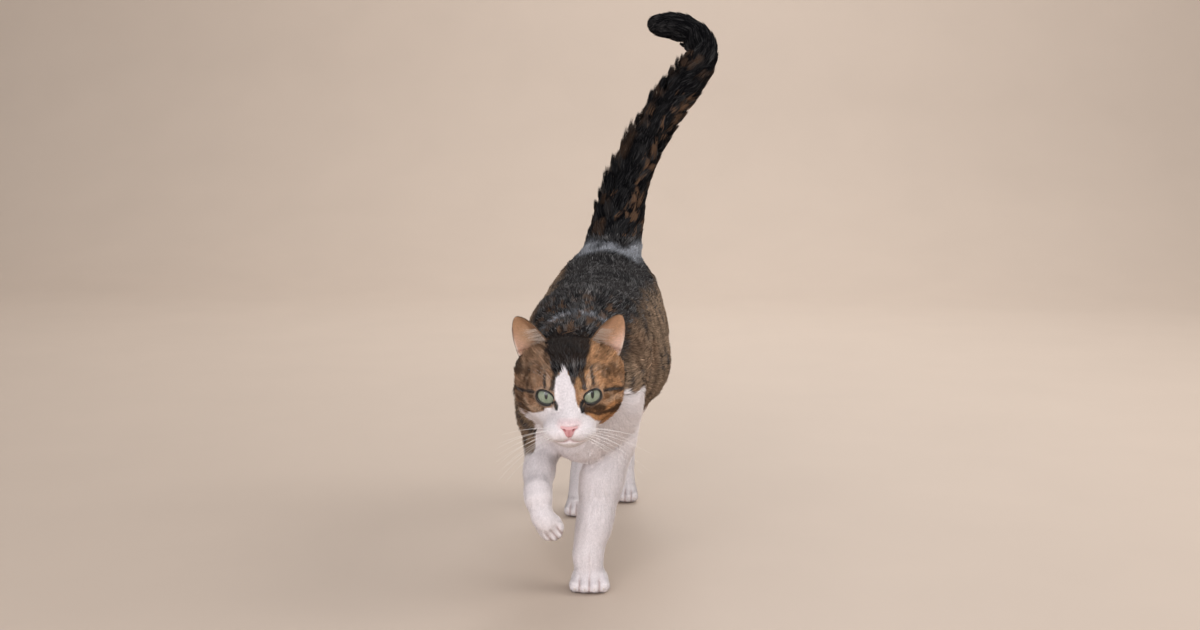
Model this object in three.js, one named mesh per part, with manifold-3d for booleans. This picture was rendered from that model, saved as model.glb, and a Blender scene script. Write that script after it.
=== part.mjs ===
// A domestic shorthair cat, life size, walking with its tail up and its right forepaw lifted.
// Millimetres, +Z up. The cat faces -Y, and its left side is +X. It stands on the floor at Z 0.
//
// The body is one smooth surface, blended from ellipsoids and tapered limbs that stand for its muscles and
// bones. Each part is a skin of points thrown outwards from its own spine until they reach that surface. It is
// then trimmed where it meets its neighbours, with a thin gap.

import * as THREE from "three";
import { mergeVertices } from "three/addons/utils/BufferGeometryUtils.js";
import Module from "manifold-3d";

const wasm = await Module();
wasm.setup();

// ---- Driving dimensions ----

const GAP = 0.3; // between parts that touch
const EYE_RADIUS = 10.5;
const EYE_OPENING = 16.5;
const LID_THICKNESS = 1.6;
const EAR_LENGTH = 42.5;
const EAR_HALF_WIDTH = 15.5;
const EAR_THICKNESS = 2.4;
const HEAD_PITCH = 10; // degrees, nose down
const HEAD_TURN = 6; // degrees, towards the cat's left
const LEFT = 1;
const RIGHT = -1;

const at = (x, y, z) => new THREE.Vector3(x, y, z);
const mirrored = (v, side) => at(v.x * side, v.y, v.z);
const turned = (x, y, z) =>
  new THREE.Quaternion().setFromEuler(
    new THREE.Euler(...[x, y, z].map(THREE.MathUtils.degToRad), "XYZ"),
  );

// ---- Surfaces: each is a function that gives a point's distance, negative inside ----

function ellipsoid(centre, radii, turn = turned(0, 0, 0)) {
  const back = turn.clone().invert();
  const local = at(0, 0, 0);
  return (point) => {
    local.copy(point).sub(centre).applyQuaternion(back).divide(radii);
    const scaled = local.length();
    const slope = local.divide(radii).length();
    return slope > 0 ? (scaled * (scaled - 1)) / slope : -radii.x;
  };
}

// A tapered limb from one joint to the next. thin is how much narrower it is across X than front to back.
function limb(start, end, startRadius, endRadius, thin = 1) {
  const along = end.clone().sub(start);
  const local = at(0, 0, 0);
  return (point) => {
    local.copy(point).sub(start);
    const share = THREE.MathUtils.clamp(local.dot(along) / along.lengthSq(), 0, 1);
    local.addScaledVector(along, -share);
    local.x /= thin;
    return local.length() - THREE.MathUtils.lerp(startRadius, endRadius, share);
  };
}

// A union whose seams are filled, over about the width given.
const blend = (width, ...shapes) => (point) =>
  shapes.reduce((nearest, shape) => {
    const distance = shape(point);
    const overlap = Math.max(width - Math.abs(nearest - distance), 0) / width;
    return Math.min(nearest, distance) - (overlap * overlap * width) / 4;
  }, Infinity);

const pair = (make) => [make(LEFT), make(RIGHT)];

// ---- The trunk's muscles ----

const trunk = blend(
  22,
  ellipsoid(at(0, -66, 180), at(50, 84, 57)), // rib cage
  ellipsoid(at(-3, 35, 179), at(63, 92, 59)), // belly
  ellipsoid(at(-6, 107, 202), at(52, 58, 55)), // rump
  limb(at(0, -106, 212), at(0, -50, 217), 20, 22), // withers
  limb(at(0, -50, 213), at(-4, 116, 223), 28, 35), // back
  ellipsoid(at(0, 25, 160), at(60, 74, 41)), // flanks
  limb(at(-22, -22, 207), at(-24, 72, 211), 29, 31), // loins
  limb(at(18, -22, 206), at(18, 72, 210), 28, 30),
  ellipsoid(at(0, -130, 156), at(36, 33, 51)), // breast
  limb(at(-3, 118, 229), at(-2, 150, 260), 33, 25), // root of the tail
  limb(at(0, -90, 203), at(-2, -178, 190), 44, 36), // neck
  ...pair((side) =>
    ellipsoid(at(28 * side, -100, 190), at(18, 32, 44), turned(-18, 0, 0)), // shoulder blade
  ),
  limb(at(27, -132, 160), at(27, -104, 130), 19, 17), // upper arms, the right one held wider
  limb(at(-36, -130, 158), at(-37.5, -116, 134), 20, 20),
  ...pair((side) => ellipsoid(at(25 * side, 112, 184), at(23, 44, 56), turned(14, 0, 0))), // haunch
  limb(at(29, 122, 180), at(32, 102, 138), 24, 18), // thighs, the left one further back
  limb(at(-30, 112, 180), at(-36, 82, 134), 24, 18),
);

// ---- The head's muscles, in the head's own frame: nose to -Y, its centre behind the eyes ----

const headSeat = new THREE.Matrix4().compose(
  at(-2, -202, 179.5),
  turned(HEAD_PITCH, 0, HEAD_TURN),
  at(1, 1, 1),
);
const inHead = (x, y, z) => at(x, y, z).applyMatrix4(headSeat);
const headTurn = new THREE.Quaternion().setFromRotationMatrix(headSeat);
const headLump = (centre, radii, turn = turned(0, 0, 0)) =>
  ellipsoid(inHead(...centre), at(...radii), headTurn.clone().multiply(turn));
const headLimb = (start, end, startRadius, endRadius) =>
  limb(inHead(...start), inHead(...end), startRadius, endRadius);

const face = blend(
  9,
  headLump([0, 2, 9], [38.5, 40, 30]), // skull
  ...pair((side) => headLump([20.5 * side, -4, -1], [20.5, 26, 22.5])), // cheeks
  ...pair((side) => headLump([17 * side, -21, 17], [12, 12, 9])), // brows
  ...pair((side) => headLump([26 * side, 5, 17], [15, 17, 13])), // temples, in front of the ears' roots
  headLimb([0, -16, 20], [0, -45, -7], 12, 7), // bridge of the nose
  headLump([0, -34, -15], [18.5, 18, 12.5]), // muzzle
  headLump([0, -35, -25.5], [9, 12, 6.8]), // chin
  headLump([0, -16, -21], [20, 24, 13]), // jaw
);
const lips = blend(
  4,
  face,
  ...pair((side) => headLump([10 * side, -41.5, -18], [10.8, 11, 8.5])), // whisker pads
);
const head = blend(14, lips, limb(at(0, -120, 198), inHead(0, 20, -4), 42, 28));

// ---- Turning surfaces into closed solids ----

const solidOf = (geometry) => {
  const bare = geometry.clone();
  bare.deleteAttribute("normal");
  bare.deleteAttribute("uv");
  const merged = mergeVertices(bare, 1e-3);
  return new wasm.Manifold(
    new wasm.Mesh({
      numProp: 3,
      vertProperties: merged.attributes.position.array,
      triVerts: new Uint32Array(merged.index.array),
    }),
  );
};

// How far a ray from inside goes before it leaves the surface.
function reach(surface, origin, direction) {
  const stride = 2;
  const farthest = 160;
  const point = at(0, 0, 0);
  const outside = (length) => surface(point.copy(origin).addScaledVector(direction, length)) > 0;
  let low = 0;
  while (low < farthest && !outside(low + stride)) low += stride;
  let high = low + stride;
  for (let halving = 0; halving < 14; halving++) {
    const middle = (low + high) / 2;
    if (outside(middle)) high = middle;
    else low = middle;
  }
  return high;
}

// The closed skin round a spine: rings across it, and a dome of rings at each end. across is where the first
// side faces, and grow puts the skin that far outside the surface.
function skinAlong(surface, spine, { rings, sides, domes = 5, across = at(1, 0, 0), grow = 0 }) {
  const stations = [];
  const quarter = Math.PI / 2;
  for (let i = 1; i < domes; i++) stations.push({ share: 0, lean: -quarter * (1 - i / domes) });
  for (let i = 0; i <= rings; i++) stations.push({ share: i / rings, lean: 0 });
  for (let i = 1; i < domes; i++) stations.push({ share: 1, lean: quarter * (i / domes) });

  const points = [];
  const throwOut = (share, direction) => {
    const origin = spine.getPointAt(share);
    points.push(origin.addScaledVector(direction, reach(surface, origin, direction) + grow));
  };
  throwOut(0, spine.getTangentAt(0).negate());
  for (const { share, lean } of stations) {
    const tangent = spine.getTangentAt(share);
    const side = across.clone().addScaledVector(tangent, -across.dot(tangent)).normalize();
    const up = tangent.clone().cross(side);
    for (let j = 0; j < sides; j++) {
      const angle = (j / sides) * 2 * Math.PI;
      const outwards = side.clone().multiplyScalar(Math.cos(angle));
      outwards.addScaledVector(up, Math.sin(angle)).multiplyScalar(Math.cos(lean));
      throwOut(share, outwards.addScaledVector(tangent, Math.sin(lean)));
    }
  }
  throwOut(1, spine.getTangentAt(1));

  const faces = [];
  const last = points.length - 1;
  const ring = (i, j) => 1 + i * sides + (j % sides);
  for (let j = 0; j < sides; j++) {
    faces.push(0, ring(0, j + 1), ring(0, j));
    for (let i = 0; i + 1 < stations.length; i++) {
      faces.push(ring(i, j), ring(i, j + 1), ring(i + 1, j));
      faces.push(ring(i, j + 1), ring(i + 1, j + 1), ring(i + 1, j));
    }
    faces.push(last, ring(stations.length - 1, j), ring(stations.length - 1, j + 1));
  }
  const geometry = new THREE.BufferGeometry().setFromPoints(points).setIndex(faces);
  return solidOf(geometry);
}

const route = (...points) => new THREE.CatmullRomCurve3(points, false, "centripetal");

// A ball or egg, turned and placed.
function egg(centre, radii, turn = turned(0, 0, 0), columns = 10, rows = 7) {
  const shape = new THREE.SphereGeometry(1, columns, rows);
  shape.applyMatrix4(new THREE.Matrix4().compose(centre, turn, at(...radii)));
  return solidOf(shape);
}

// Everything on the far side of a plane, to cut away. gap moves the plane back towards what is kept.
function beyond(point, direction, gap = 0) {
  const size = 700;
  const box = new THREE.BoxGeometry(size, size, size);
  const outwards = direction.clone().normalize();
  const turn = new THREE.Quaternion().setFromUnitVectors(at(0, 0, 1), outwards);
  const centre = point.clone().addScaledVector(outwards, size / 2 - gap);
  box.applyMatrix4(new THREE.Matrix4().compose(centre, turn, at(1, 1, 1)));
  return solidOf(box);
}

// Parts a solid at a plane, and gives [what lies against the direction, what lies along it].
function partAt(solid, point, direction) {
  const back = direction.clone().negate();
  return [
    solid.subtract(beyond(point, direction, GAP / 2)),
    solid.subtract(beyond(point, back, GAP / 2)),
  ];
}

const joined = (first, ...others) => others.reduce((sum, other) => sum.add(other), first);
const floor = beyond(at(0, 0, 0), at(0, 0, -1));

// Only the largest closed surface of a solid.
const largest = (solid) =>
  solid.decompose().reduce((best, piece) => (piece.volume() > best.volume() ? piece : best));

// ---- The coat's colours ----

const finish = (colour, roughness) =>
  new THREE.MeshStandardMaterial({ color: colour, roughness, metalness: 0 });
const tabby = finish(0x4a4038, 0.85);
const black = finish(0x1d1b1c, 0.8);
const white = finish(0xeae5e4, 0.85);
const ginger = finish(0x8b6a4e, 0.85);
const pink = finish(0xd98f8f, 0.5);
const green = finish(0x86b596, 0.1);

const cat = new THREE.Group();
function add(name, solid, material) {
  const mesh = solid.getMesh();
  const geometry = new THREE.BufferGeometry()
    .setAttribute("position", new THREE.BufferAttribute(mesh.vertProperties, 3))
    .setIndex(new THREE.BufferAttribute(mesh.triVerts, 1));
  geometry.computeVertexNormals();
  const part = new THREE.Mesh(geometry, material);
  part.name = name;
  cat.add(part);
  return part;
}

// ---- Legs ----

// The room that a leg takes out of the trunk: an arch over it, seen from the side, up to an inner wall.
function legRoom({ side, front, rear, top, spring, inner }, grow = 0) {
  const arch = new THREE.Shape();
  const middle = (front + rear) / 2;
  const bottom = 20;
  arch.moveTo(rear + grow, bottom);
  arch.lineTo(rear + grow, spring);
  arch.absellipse(middle, spring, rear - middle + grow, top - spring + grow, 0, Math.PI, false, 0);
  arch.lineTo(front - grow, bottom);
  const depth = 120;
  const slab = new THREE.ExtrudeGeometry(arch, { depth, bevelEnabled: false, curveSegments: 9 });
  // The shape's X and Y become the cat's Y and Z, and its depth goes along X.
  slab.applyMatrix4(new THREE.Matrix4().makeBasis(at(0, 1, 0), at(0, 0, 1), at(1, 0, 0)));
  slab.translate(side > 0 ? inner - grow : -depth - inner + grow, 0, 0);
  return solidOf(slab);
}

// A paw: its body, and four toes fanned out in front. heading turns it about Z, and dip tips its toes down.
function paw({ ball, heading, width, dip = 0 }) {
  const turn = turned(dip, 0, heading);
  const place = (x, y, z) => at(x, y, z).applyQuaternion(turn).add(ball);
  const toes = [-1.5, -0.5, 0.5, 1.5].map((step) => {
    const forward = -12 + 2.6 * Math.abs(step);
    const fan = turn.clone().multiply(turned(0, 0, -8 * step));
    return egg(place(step * width * 0.49, forward, 6), [width * 0.34, 8.5, 6.2], fan, 8, 6);
  });
  return [egg(place(0, 2, 9.5), [width, 14, 10], turn, 12, 8), ...toes];
}

const legs = {
  foreleg_left: {
    room: { side: LEFT, front: -166, rear: -62, top: 232, spring: 186, inner: 17 },
    spine: route(
      at(29, -120, 158),
      at(24, -106, 122),
      at(14, -116, 86),
      at(10, -130, 54),
      at(5, -137, 33),
      at(6, -139, 18),
    ),
    radii: [19, 19, 18, 14.5, 12, 12.5],
    wristShare: 0.78,
    paw: { ball: at(7, -142, 0), heading: 5, width: 16.5 },
  },
  foreleg_right: {
    room: { side: RIGHT, front: -166, rear: -62, top: 232, spring: 186, inner: 17 },
    spine: route(
      at(-36, -122, 158),
      at(-35, -112, 124),
      at(-34.5, -146, 100),
      at(-32, -172, 87),
      at(-29, -177, 77),
    ),
    radii: [23, 17.2, 12.2, 10.4, 9.6],
    wristShare: 0.83,
    paw: { ball: at(-24.5, -172, 66.5), heading: 36, dip: 80, width: 10.2 },
  },
  hindleg_left: {
    room: { side: LEFT, front: 56, rear: 158, top: 232, spring: 176, inner: 13 },
    spine: route(
      at(30, 120, 180),
      at(32, 104, 138),
      at(18, 144, 103),
      at(7, 190, 71),
      at(8, 182, 40),
      at(11, 164, 15),
    ),
    radii: [26, 21, 14.5, 10.5, 10, 11],
    wristShare: 0.72,
    paw: { ball: at(12, 159, 0), heading: 2, width: 12.5 },
  },
  hindleg_right: {
    room: { side: RIGHT, front: 44, rear: 150, top: 232, spring: 176, inner: 13 },
    spine: route(
      at(-31, 112, 180),
      at(-37, 80, 136),
      at(-36, 116, 100),
      at(-32, 150, 62),
      at(-31, 126, 32),
      at(-31, 106, 15),
    ),
    radii: [26, 21, 14.5, 10.5, 10, 11],
    wristShare: 0.72,
    paw: { ball: at(-31, 98, 0), heading: 2, width: 12.5 },
  },
};

// A spine with more points along its curve, and their radii.
function finer(spine, radii, steps) {
  const points = spine.getPoints(steps);
  const last = radii.length - 1;
  const widths = points.map((_, i) => {
    const place = (i / steps) * last;
    const before = Math.min(Math.floor(place), last - 1);
    return THREE.MathUtils.lerp(radii[before], radii[before + 1], place - before);
  });
  return [route(...points), widths];
}

// A chain of tapered limbs from point to point of a spine.
const chain = (width, spine, radii) =>
  blend(
    width,
    ...spine.points.slice(1).map((p, i) => limb(spine.points[i], p, radii[i], radii[i + 1])),
  );

const trunkSpine = route(
  at(0, 128, 222),
  at(0, 80, 196),
  at(0, 0, 186),
  at(0, -80, 188),
  at(0, -130, 190),
  at(-1, -160, 190),
);

// ---- Tail: carried upright, with its tip curled over to the cat's right ----

const tailSpine = route(
  at(-2, 142, 246),
  at(1, 151, 272),
  at(6, 155, 292),
  at(11, 158, 318),
  at(32, 162, 368),
  at(58, 163, 408),
  at(79, 163, 435),
  at(88, 163, 456),
  at(82, 164, 473),
  at(62, 165, 482),
  at(42, 166, 484),
);
const tailRadii = [28.5, 26, 23, 20.5, 18.5, 17.5, 15.5, 14, 13, 11.5, 9.5];
const tailShape = chain(6, ...finer(tailSpine, tailRadii, 30));
const tailRings = { rings: 34, sides: 14, domes: 4, across: at(0, 1, 0) };
const tailCuts = [0.11, 0.4, 0.72].map((share) => [
  tailSpine.getPointAt(share),
  tailSpine.getTangentAt(share),
]);

const trunkRings = { rings: 28, sides: 34, domes: 5 };
const [trunkSolid, tailSolid] = partAt(
  skinAlong(trunk, trunkSpine, trunkRings).add(skinAlong(tailShape, tailSpine, tailRings)),
  ...tailCuts[0],
);
const [tailBase, tailRest] = partAt(largest(tailSolid), ...tailCuts[1]);
const [tailMiddle, tailTip] = partAt(tailRest, ...tailCuts[2]);
add("tail_base", largest(tailBase), black);
add("tail_middle", largest(tailMiddle), black);
add("tail_tip", largest(tailTip), black);

let torso = trunkSolid;
const legRings = { rings: 14, sides: 14, domes: 3 };
for (const [name, leg] of Object.entries(legs)) {
  const surface = chain(8, leg.spine, leg.radii);
  const tube = skinAlong(surface, leg.spine, legRings);
  const upper = trunkSolid.intersect(legRoom(leg.room));
  torso = torso.subtract(legRoom(leg.room, GAP));
  torso = torso.subtract(skinAlong(surface, leg.spine, { ...legRings, grow: 4 * GAP }));
  const whole = joined(upper, tube, ...paw(leg.paw)).subtract(floor);
  const wrist = leg.spine.getPointAt(leg.wristShare);
  const [above, below] = partAt(whole, wrist, leg.spine.getTangentAt(leg.wristShare));
  add(name, largest(above), white);
  add(name.replace("leg", "paw"), largest(below), white);
}

// ---- Neck and torso ----

const neckCut = at(0, -134, 198);
const headCut = inHead(0, 27, 0);
const headwards = at(0, -1, 0).applyQuaternion(headTurn);
const [torsoOnly, neckOn] = partAt(torso, neckCut, at(0, -1, -0.18));
const [neckOnly] = partAt(neckOn, headCut, headwards);
add("torso", largest(torsoOnly), tabby);
add("neck", largest(neckOnly), tabby);

// ---- Head ----

const headSpine = route(inHead(0, 34, 2), inHead(0, 0, 0), inHead(0, -30, -9));
const headShape = { rings: 20, sides: 38, domes: 7 };
let headSolid = skinAlong(head, headSpine, headShape);
const [, headFront] = partAt(headSolid, headCut, headwards);
headSolid = headFront;

for (const side of [LEFT, RIGHT]) {
  const centre = inHead(15.7 * side, -26, 7);
  const gaze = headTurn.clone().multiply(turned(0, 0, 9 * side));
  const ball = (radius) => egg(centre, [radius, radius, radius], gaze, 14, 10);
  headSolid = headSolid.add(ball(EYE_RADIUS + LID_THICKNESS));
  // The opening between the lids lies along the gaze, with its inner corner lower.
  const opening = new THREE.Shape();
  opening.moveTo(-EYE_OPENING / 2, 0);
  opening.quadraticCurveTo(0, 13, EYE_OPENING / 2, 0);
  opening.quadraticCurveTo(0, -13.5, -EYE_OPENING / 2, 0);
  const lens = new THREE.ExtrudeGeometry(opening, { depth: 30, bevelEnabled: false, curveSegments: 7 });
  lens.rotateZ(THREE.MathUtils.degToRad(24 * side));
  lens.rotateX(Math.PI / 2);
  lens.applyQuaternion(gaze);
  lens.translate(centre.x, centre.y, centre.z);
  headSolid = headSolid.subtract(solidOf(lens)).subtract(ball(EYE_RADIUS + GAP));
  add(side === LEFT ? "eye_left" : "eye_right", ball(EYE_RADIUS), green);
}

// The bare leather of the nose: a rounded triangle with a nostril at each side.
const leather = blend(
  2.5,
  headLump([0, -50.5, -11], [6.8, 4.6, 3.4]),
  headLump([0, -50.5, -15], [3.4, 4.4, 4.6]),
);
const leatherSpine = route(inHead(0, -48, -9.5), inHead(0, -48.5, -13), inHead(0, -48, -16.5));
const leatherRings = { rings: 5, sides: 16, domes: 4 };
let nose = skinAlong(leather, leatherSpine, leatherRings);
for (const side of [LEFT, RIGHT]) {
  const slant = headTurn.clone().multiply(turned(0, 0, 30 * side));
  nose = nose.subtract(egg(inHead(3.8 * side, -55, -12.6), [1.1, 3.2, 1.4], slant, 8, 6));
}
headSolid = headSolid.subtract(skinAlong(leather, leatherSpine, { ...leatherRings, grow: GAP }));
add("nose", largest(nose), pink);

// The line of the mouth: a groove down from the nose, and one out under each lip.
const onFace = (x, z) => {
  const from = inHead(x, -20, z);
  return from.clone().addScaledVector(headwards, reach(head, from, headwards) - 0.3);
};
const grooves = [
  [onFace(0, -18), onFace(0, -20), onFace(0, -22.3)],
  ...pair((side) => [
    onFace(0.3 * side, -22),
    onFace(4 * side, -24.1),
    onFace(8.5 * side, -24.8),
    onFace(13 * side, -22.8),
  ]),
];
for (const points of grooves) {
  const line = route(...points);
  const groove = chain(1, line, points.map(() => 0.8));
  headSolid = headSolid.subtract(skinAlong(groove, line, { rings: 6, sides: 6, domes: 2 }));
}
add("head", largest(headSolid), white);

// ---- Ears ----

// A cupped leaf: an arc across at each height, narrowing to a round tip, with an inner and an outer face.
function ear(side) {
  const heights = 9;
  const steps = 8;
  const points = [];
  const faces = [];
  const seat = headTurn.clone().multiply(turned(-20, 27 * side, 30 * side));
  const base = inHead(22 * side, 10, 17.5);
  const section = (share, across, depth) => {
    const rootTuck = Math.min(1, 0.85 + 0.5 * share);
    const width = EAR_HALF_WIDTH * rootTuck * Math.pow(1 - Math.pow(share, 2.4), 0.6);
    const curl = THREE.MathUtils.degToRad(THREE.MathUtils.lerp(88, 38, share));
    const radius = width / Math.sin(curl);
    const angle = across * curl;
    const thickness = EAR_THICKNESS * (1 - Math.abs(across) ** 3 * 0.55);
    const out = radius - depth * Math.min(thickness, radius * 0.45);
    const x = out * Math.sin(angle);
    const y = out * Math.cos(angle) - radius * Math.cos(curl);
    return at(x * side, y, share * EAR_LENGTH).applyQuaternion(seat).add(base);
  };
  for (let i = 0; i <= heights; i++) {
    const share = 0.985 * Math.sin((i / heights) * (Math.PI / 2));
    for (let j = 0; j <= steps; j++) points.push(section(share, (2 * j) / steps - 1, 0));
    for (let j = steps; j >= 0; j--) points.push(section(share, (2 * j) / steps - 1, 1));
  }
  const loop = 2 * (steps + 1);
  const index = (i, j) => i * loop + (j % loop);
  const quad = (a, b, c, d) => faces.push(a, b, c, a, c, d);
  for (let i = 0; i < heights; i++) {
    for (let j = 0; j < loop; j++) quad(index(i, j), index(i, j + 1), index(i + 1, j + 1), index(i + 1, j));
  }
  for (let j = 0; j < steps; j++) {
    quad(index(0, j + 1), index(0, j), index(0, loop - 1 - j), index(0, loop - 2 - j));
    quad(index(heights, j), index(heights, j + 1), index(heights, loop - 2 - j), index(heights, loop - 1 - j));
  }
  if (side > 0) faces.reverse();
  return solidOf(new THREE.BufferGeometry().setFromPoints(points).setIndex(faces));
}
const headGrown = skinAlong(head, headSpine, { ...headShape, grow: GAP });
for (const side of [LEFT, RIGHT]) {
  const whole = ear(side).subtract(headGrown);
  add(side === LEFT ? "ear_left" : "ear_right", largest(whole), ginger);
}

// ---- The origin: on the floor, under the middle of the cat's box ----

const box = new THREE.Box3().setFromObject(cat);
cat.position.set(-(box.min.x + box.max.x) / 2, -(box.min.y + box.max.y) / 2, -box.min.z);

export default cat;
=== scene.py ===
# A walking shorthaired cat, tabby and white, as large as life: a still figure of the living animal.
# Metres, +Z up. The cat faces -Y, its left side is +X, and it stands on the floor at Z 0.

import math

import bmesh
import bpy
import numpy as np
from mathutils import Matrix, Vector
from mathutils.bvhtree import BVHTree
from mathutils.kdtree import KDTree


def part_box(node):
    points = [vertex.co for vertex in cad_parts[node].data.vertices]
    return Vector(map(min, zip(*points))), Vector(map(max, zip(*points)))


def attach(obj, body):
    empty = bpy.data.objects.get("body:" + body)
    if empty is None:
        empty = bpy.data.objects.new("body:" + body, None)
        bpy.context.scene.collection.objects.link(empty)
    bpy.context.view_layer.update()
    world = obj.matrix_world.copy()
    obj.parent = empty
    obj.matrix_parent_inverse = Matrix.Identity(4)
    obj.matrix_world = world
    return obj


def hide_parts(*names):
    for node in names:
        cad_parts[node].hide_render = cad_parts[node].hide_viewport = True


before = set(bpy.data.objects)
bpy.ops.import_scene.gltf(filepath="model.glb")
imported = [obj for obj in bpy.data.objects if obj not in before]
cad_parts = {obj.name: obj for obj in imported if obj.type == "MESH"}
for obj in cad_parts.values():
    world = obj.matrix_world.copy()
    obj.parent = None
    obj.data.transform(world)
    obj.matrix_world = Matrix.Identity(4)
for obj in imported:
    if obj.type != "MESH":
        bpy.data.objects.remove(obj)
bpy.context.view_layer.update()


# ---- The cat's own axes ----
# The middle of the two eyes gives the seat of the head, and the head gives the seat of the body. Places on
# the cat are in millimetres on one of those two seats: x to its left, y backwards and z up.

MM = 0.001
HEAD_PITCH = 10
HEAD_TURN = 6
EYE_PLACE = (15.7, -26, 7)
HEAD_PLACE = (-2, -202, 179.5)


def turned(x, y, z):
    """A turn about Z, then Y, then X, in degrees."""
    return np.array(
        Matrix.Rotation(math.radians(x), 3, "X")
        @ Matrix.Rotation(math.radians(y), 3, "Y")
        @ Matrix.Rotation(math.radians(z), 3, "Z")
    )


def middle_of(node):
    low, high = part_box(node)
    return np.array((low + high) / 2)


head_turn = turned(HEAD_PITCH, 0, HEAD_TURN)
eyes_middle = (middle_of("eye_left") + middle_of("eye_right")) / 2
head_seat = eyes_middle - head_turn @ np.array([0, EYE_PLACE[1], EYE_PLACE[2]]) * MM
body_seat = head_seat - np.array(HEAD_PLACE) * MM


def on_body(places):
    return body_seat + np.array(places, float) * MM


def on_head(places):
    return head_seat + (np.array(places, float) * MM) @ head_turn.T


def body_places(points):
    return (points - body_seat) / MM


def head_places(points):
    return (points - head_seat) / MM @ head_turn


# ---- The camera ----
# A person's camera held at knee height, a step and a half in front of the cat and a little to its left, and
# turned down to it.

camera = bpy.data.objects.new("camera", bpy.data.cameras.new("camera"))
camera.data.sensor_width = 36
camera.data.lens = 44.13
camera.location = on_body((135, -1323, 380))
camera.rotation_euler = (math.radians(82.83), 0, math.radians(5.768))
bpy.context.scene.collection.objects.link(camera)
bpy.context.scene.camera = camera


# ---- Light ----
# Soft daylight in a pale room: large windows to the cat's left, in front of it and behind it, one for the
# wall, and a small bright one in front that its eyes reflect.

def window(name, place, aim, size, power, colour):
    light = bpy.data.lights.new(name, "AREA")
    light.shape = "DISK"
    light.size = size
    light.energy = power
    light.color = colour
    holder = bpy.data.objects.new(name, light)
    holder.location = place
    holder.rotation_euler = (Vector(aim) - Vector(place)).to_track_quat("-Z", "Y").to_euler()
    bpy.context.scene.collection.objects.link(holder)


window("side window", (1.5, 0.1, 1.3), (0, 0, 0.2), 1.3, 15, (1.0, 0.98, 0.96))
window("front window", (-0.4, -2.2, 0.8), (0, 0, 0.12), 1.8, 30, (1.0, 0.98, 1.0))
window("back window", (0.2, 1.9, 1.8), (0, 0, 0.25), 1.2, 14, (0.93, 0.97, 1.0))
window("far window", (0.0, 1.6, 2.6), (0, 3.2, 0.9), 1.5, 34, (1.0, 0.99, 0.98))
window("small window", (0.75, -2.1, 1.15), (0, -0.2, 0.2), 0.42, 5, (1.0, 1.0, 1.0))

world = bpy.data.worlds.new("room")
world.use_nodes = True
world.node_tree.nodes["Background"].inputs["Color"].default_value = (0.93, 0.91, 0.90, 1)
world.node_tree.nodes["Background"].inputs["Strength"].default_value = 0.56
bpy.context.scene.world = world
bpy.context.scene.view_settings.view_transform = "Standard"


# ---- Finishes ----
# Each finish is a tree of shader nodes. A Field is a number or a colour that changes over the surface, and
# Python's own signs on it stand for Math nodes.

class Field:
    def __init__(self, finish, socket):
        self.finish = finish
        self.socket = socket

    def sum(self, operation, *others):
        return self.finish.node("ShaderNodeMath", {"operation": operation}, dict(enumerate([self, *others])))

    def __add__(self, other):
        return self.sum("ADD", other)

    def __sub__(self, other):
        return self.sum("SUBTRACT", other)

    def __rsub__(self, other):
        return self * -1 + other

    def __mul__(self, other):
        return self.sum("MULTIPLY", other)

    def __truediv__(self, other):
        return self.sum("DIVIDE", other)

    def __pow__(self, other):
        return self.sum("POWER", other)

    def __rtruediv__(self, other):
        return self**-1 * other

    def __rpow__(self, other):
        return self.finish.node("ShaderNodeMath", {"operation": "POWER"}, {0: other, 1: self})

    __radd__ = __add__
    __rmul__ = __mul__


class Finish:
    def __init__(self, name, **constants):
        self.material = bpy.data.materials.new(name)
        self.material.use_nodes = True
        self.tree = self.material.node_tree
        self.surface = self.tree.nodes["Principled BSDF"]
        for socket, value in constants.items():
            self.surface.inputs[socket.replace("_", " ")].default_value = value

    def set(self, socket, value):
        if isinstance(value, Field):
            self.tree.links.new(value.socket, socket)
        else:
            socket.default_value = value

    def node(self, kind, settings=None, inputs=None, output=0):
        """Any node: its kind, its settings, its sockets' values or links, and the output that is wanted."""
        made = self.tree.nodes.new(kind)
        for name, value in (settings or {}).items():
            setattr(made, name, value)
        for name, value in (inputs or {}).items():
            self.set(made.inputs[name], value)
        return Field(self, made.outputs[output])

    def attribute(self, name):
        return self.node("ShaderNodeAttribute", {"attribute_name": name}, output="Color")

    def noise(self, scale, detail=3, where=None):
        inputs = {"Scale": scale, "Detail": detail}
        inputs["Vector"] = where or self.node("ShaderNodeTexCoord", output="Object")
        return self.node("ShaderNodeTexNoise", inputs=inputs)

    def mixed(self, share, first, second):
        sockets = {0: share, 6: first, 7: second}
        return self.node("ShaderNodeMix", {"data_type": "RGBA"}, sockets, output=2)

    def feed(self, **fields):
        for socket, value in fields.items():
            self.set(self.surface.inputs[socket.replace("_", " ")], value)
        return self

    def bump(self, height, depth, strength=1.0):
        inputs = {"Height": height, "Distance": depth, "Strength": strength}
        return self.feed(Normal=self.node("ShaderNodeBump", inputs=inputs))


def tone(red, green, blue):
    """A colour as seen on a screen, 0 to 255, made linear."""
    return ((np.array([red, green, blue]) / 255 + 0.055) / 1.055) ** 2.4


def paint(colour):
    return (*(float(c) for c in colour), 1.0)


# ---- The floor ----
# A pale sheet that runs flat under the cat and sweeps up behind it into a plain wall. It isn't part of the
# cat.

FLOOR_TONE = tone(195, 179, 165)


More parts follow.
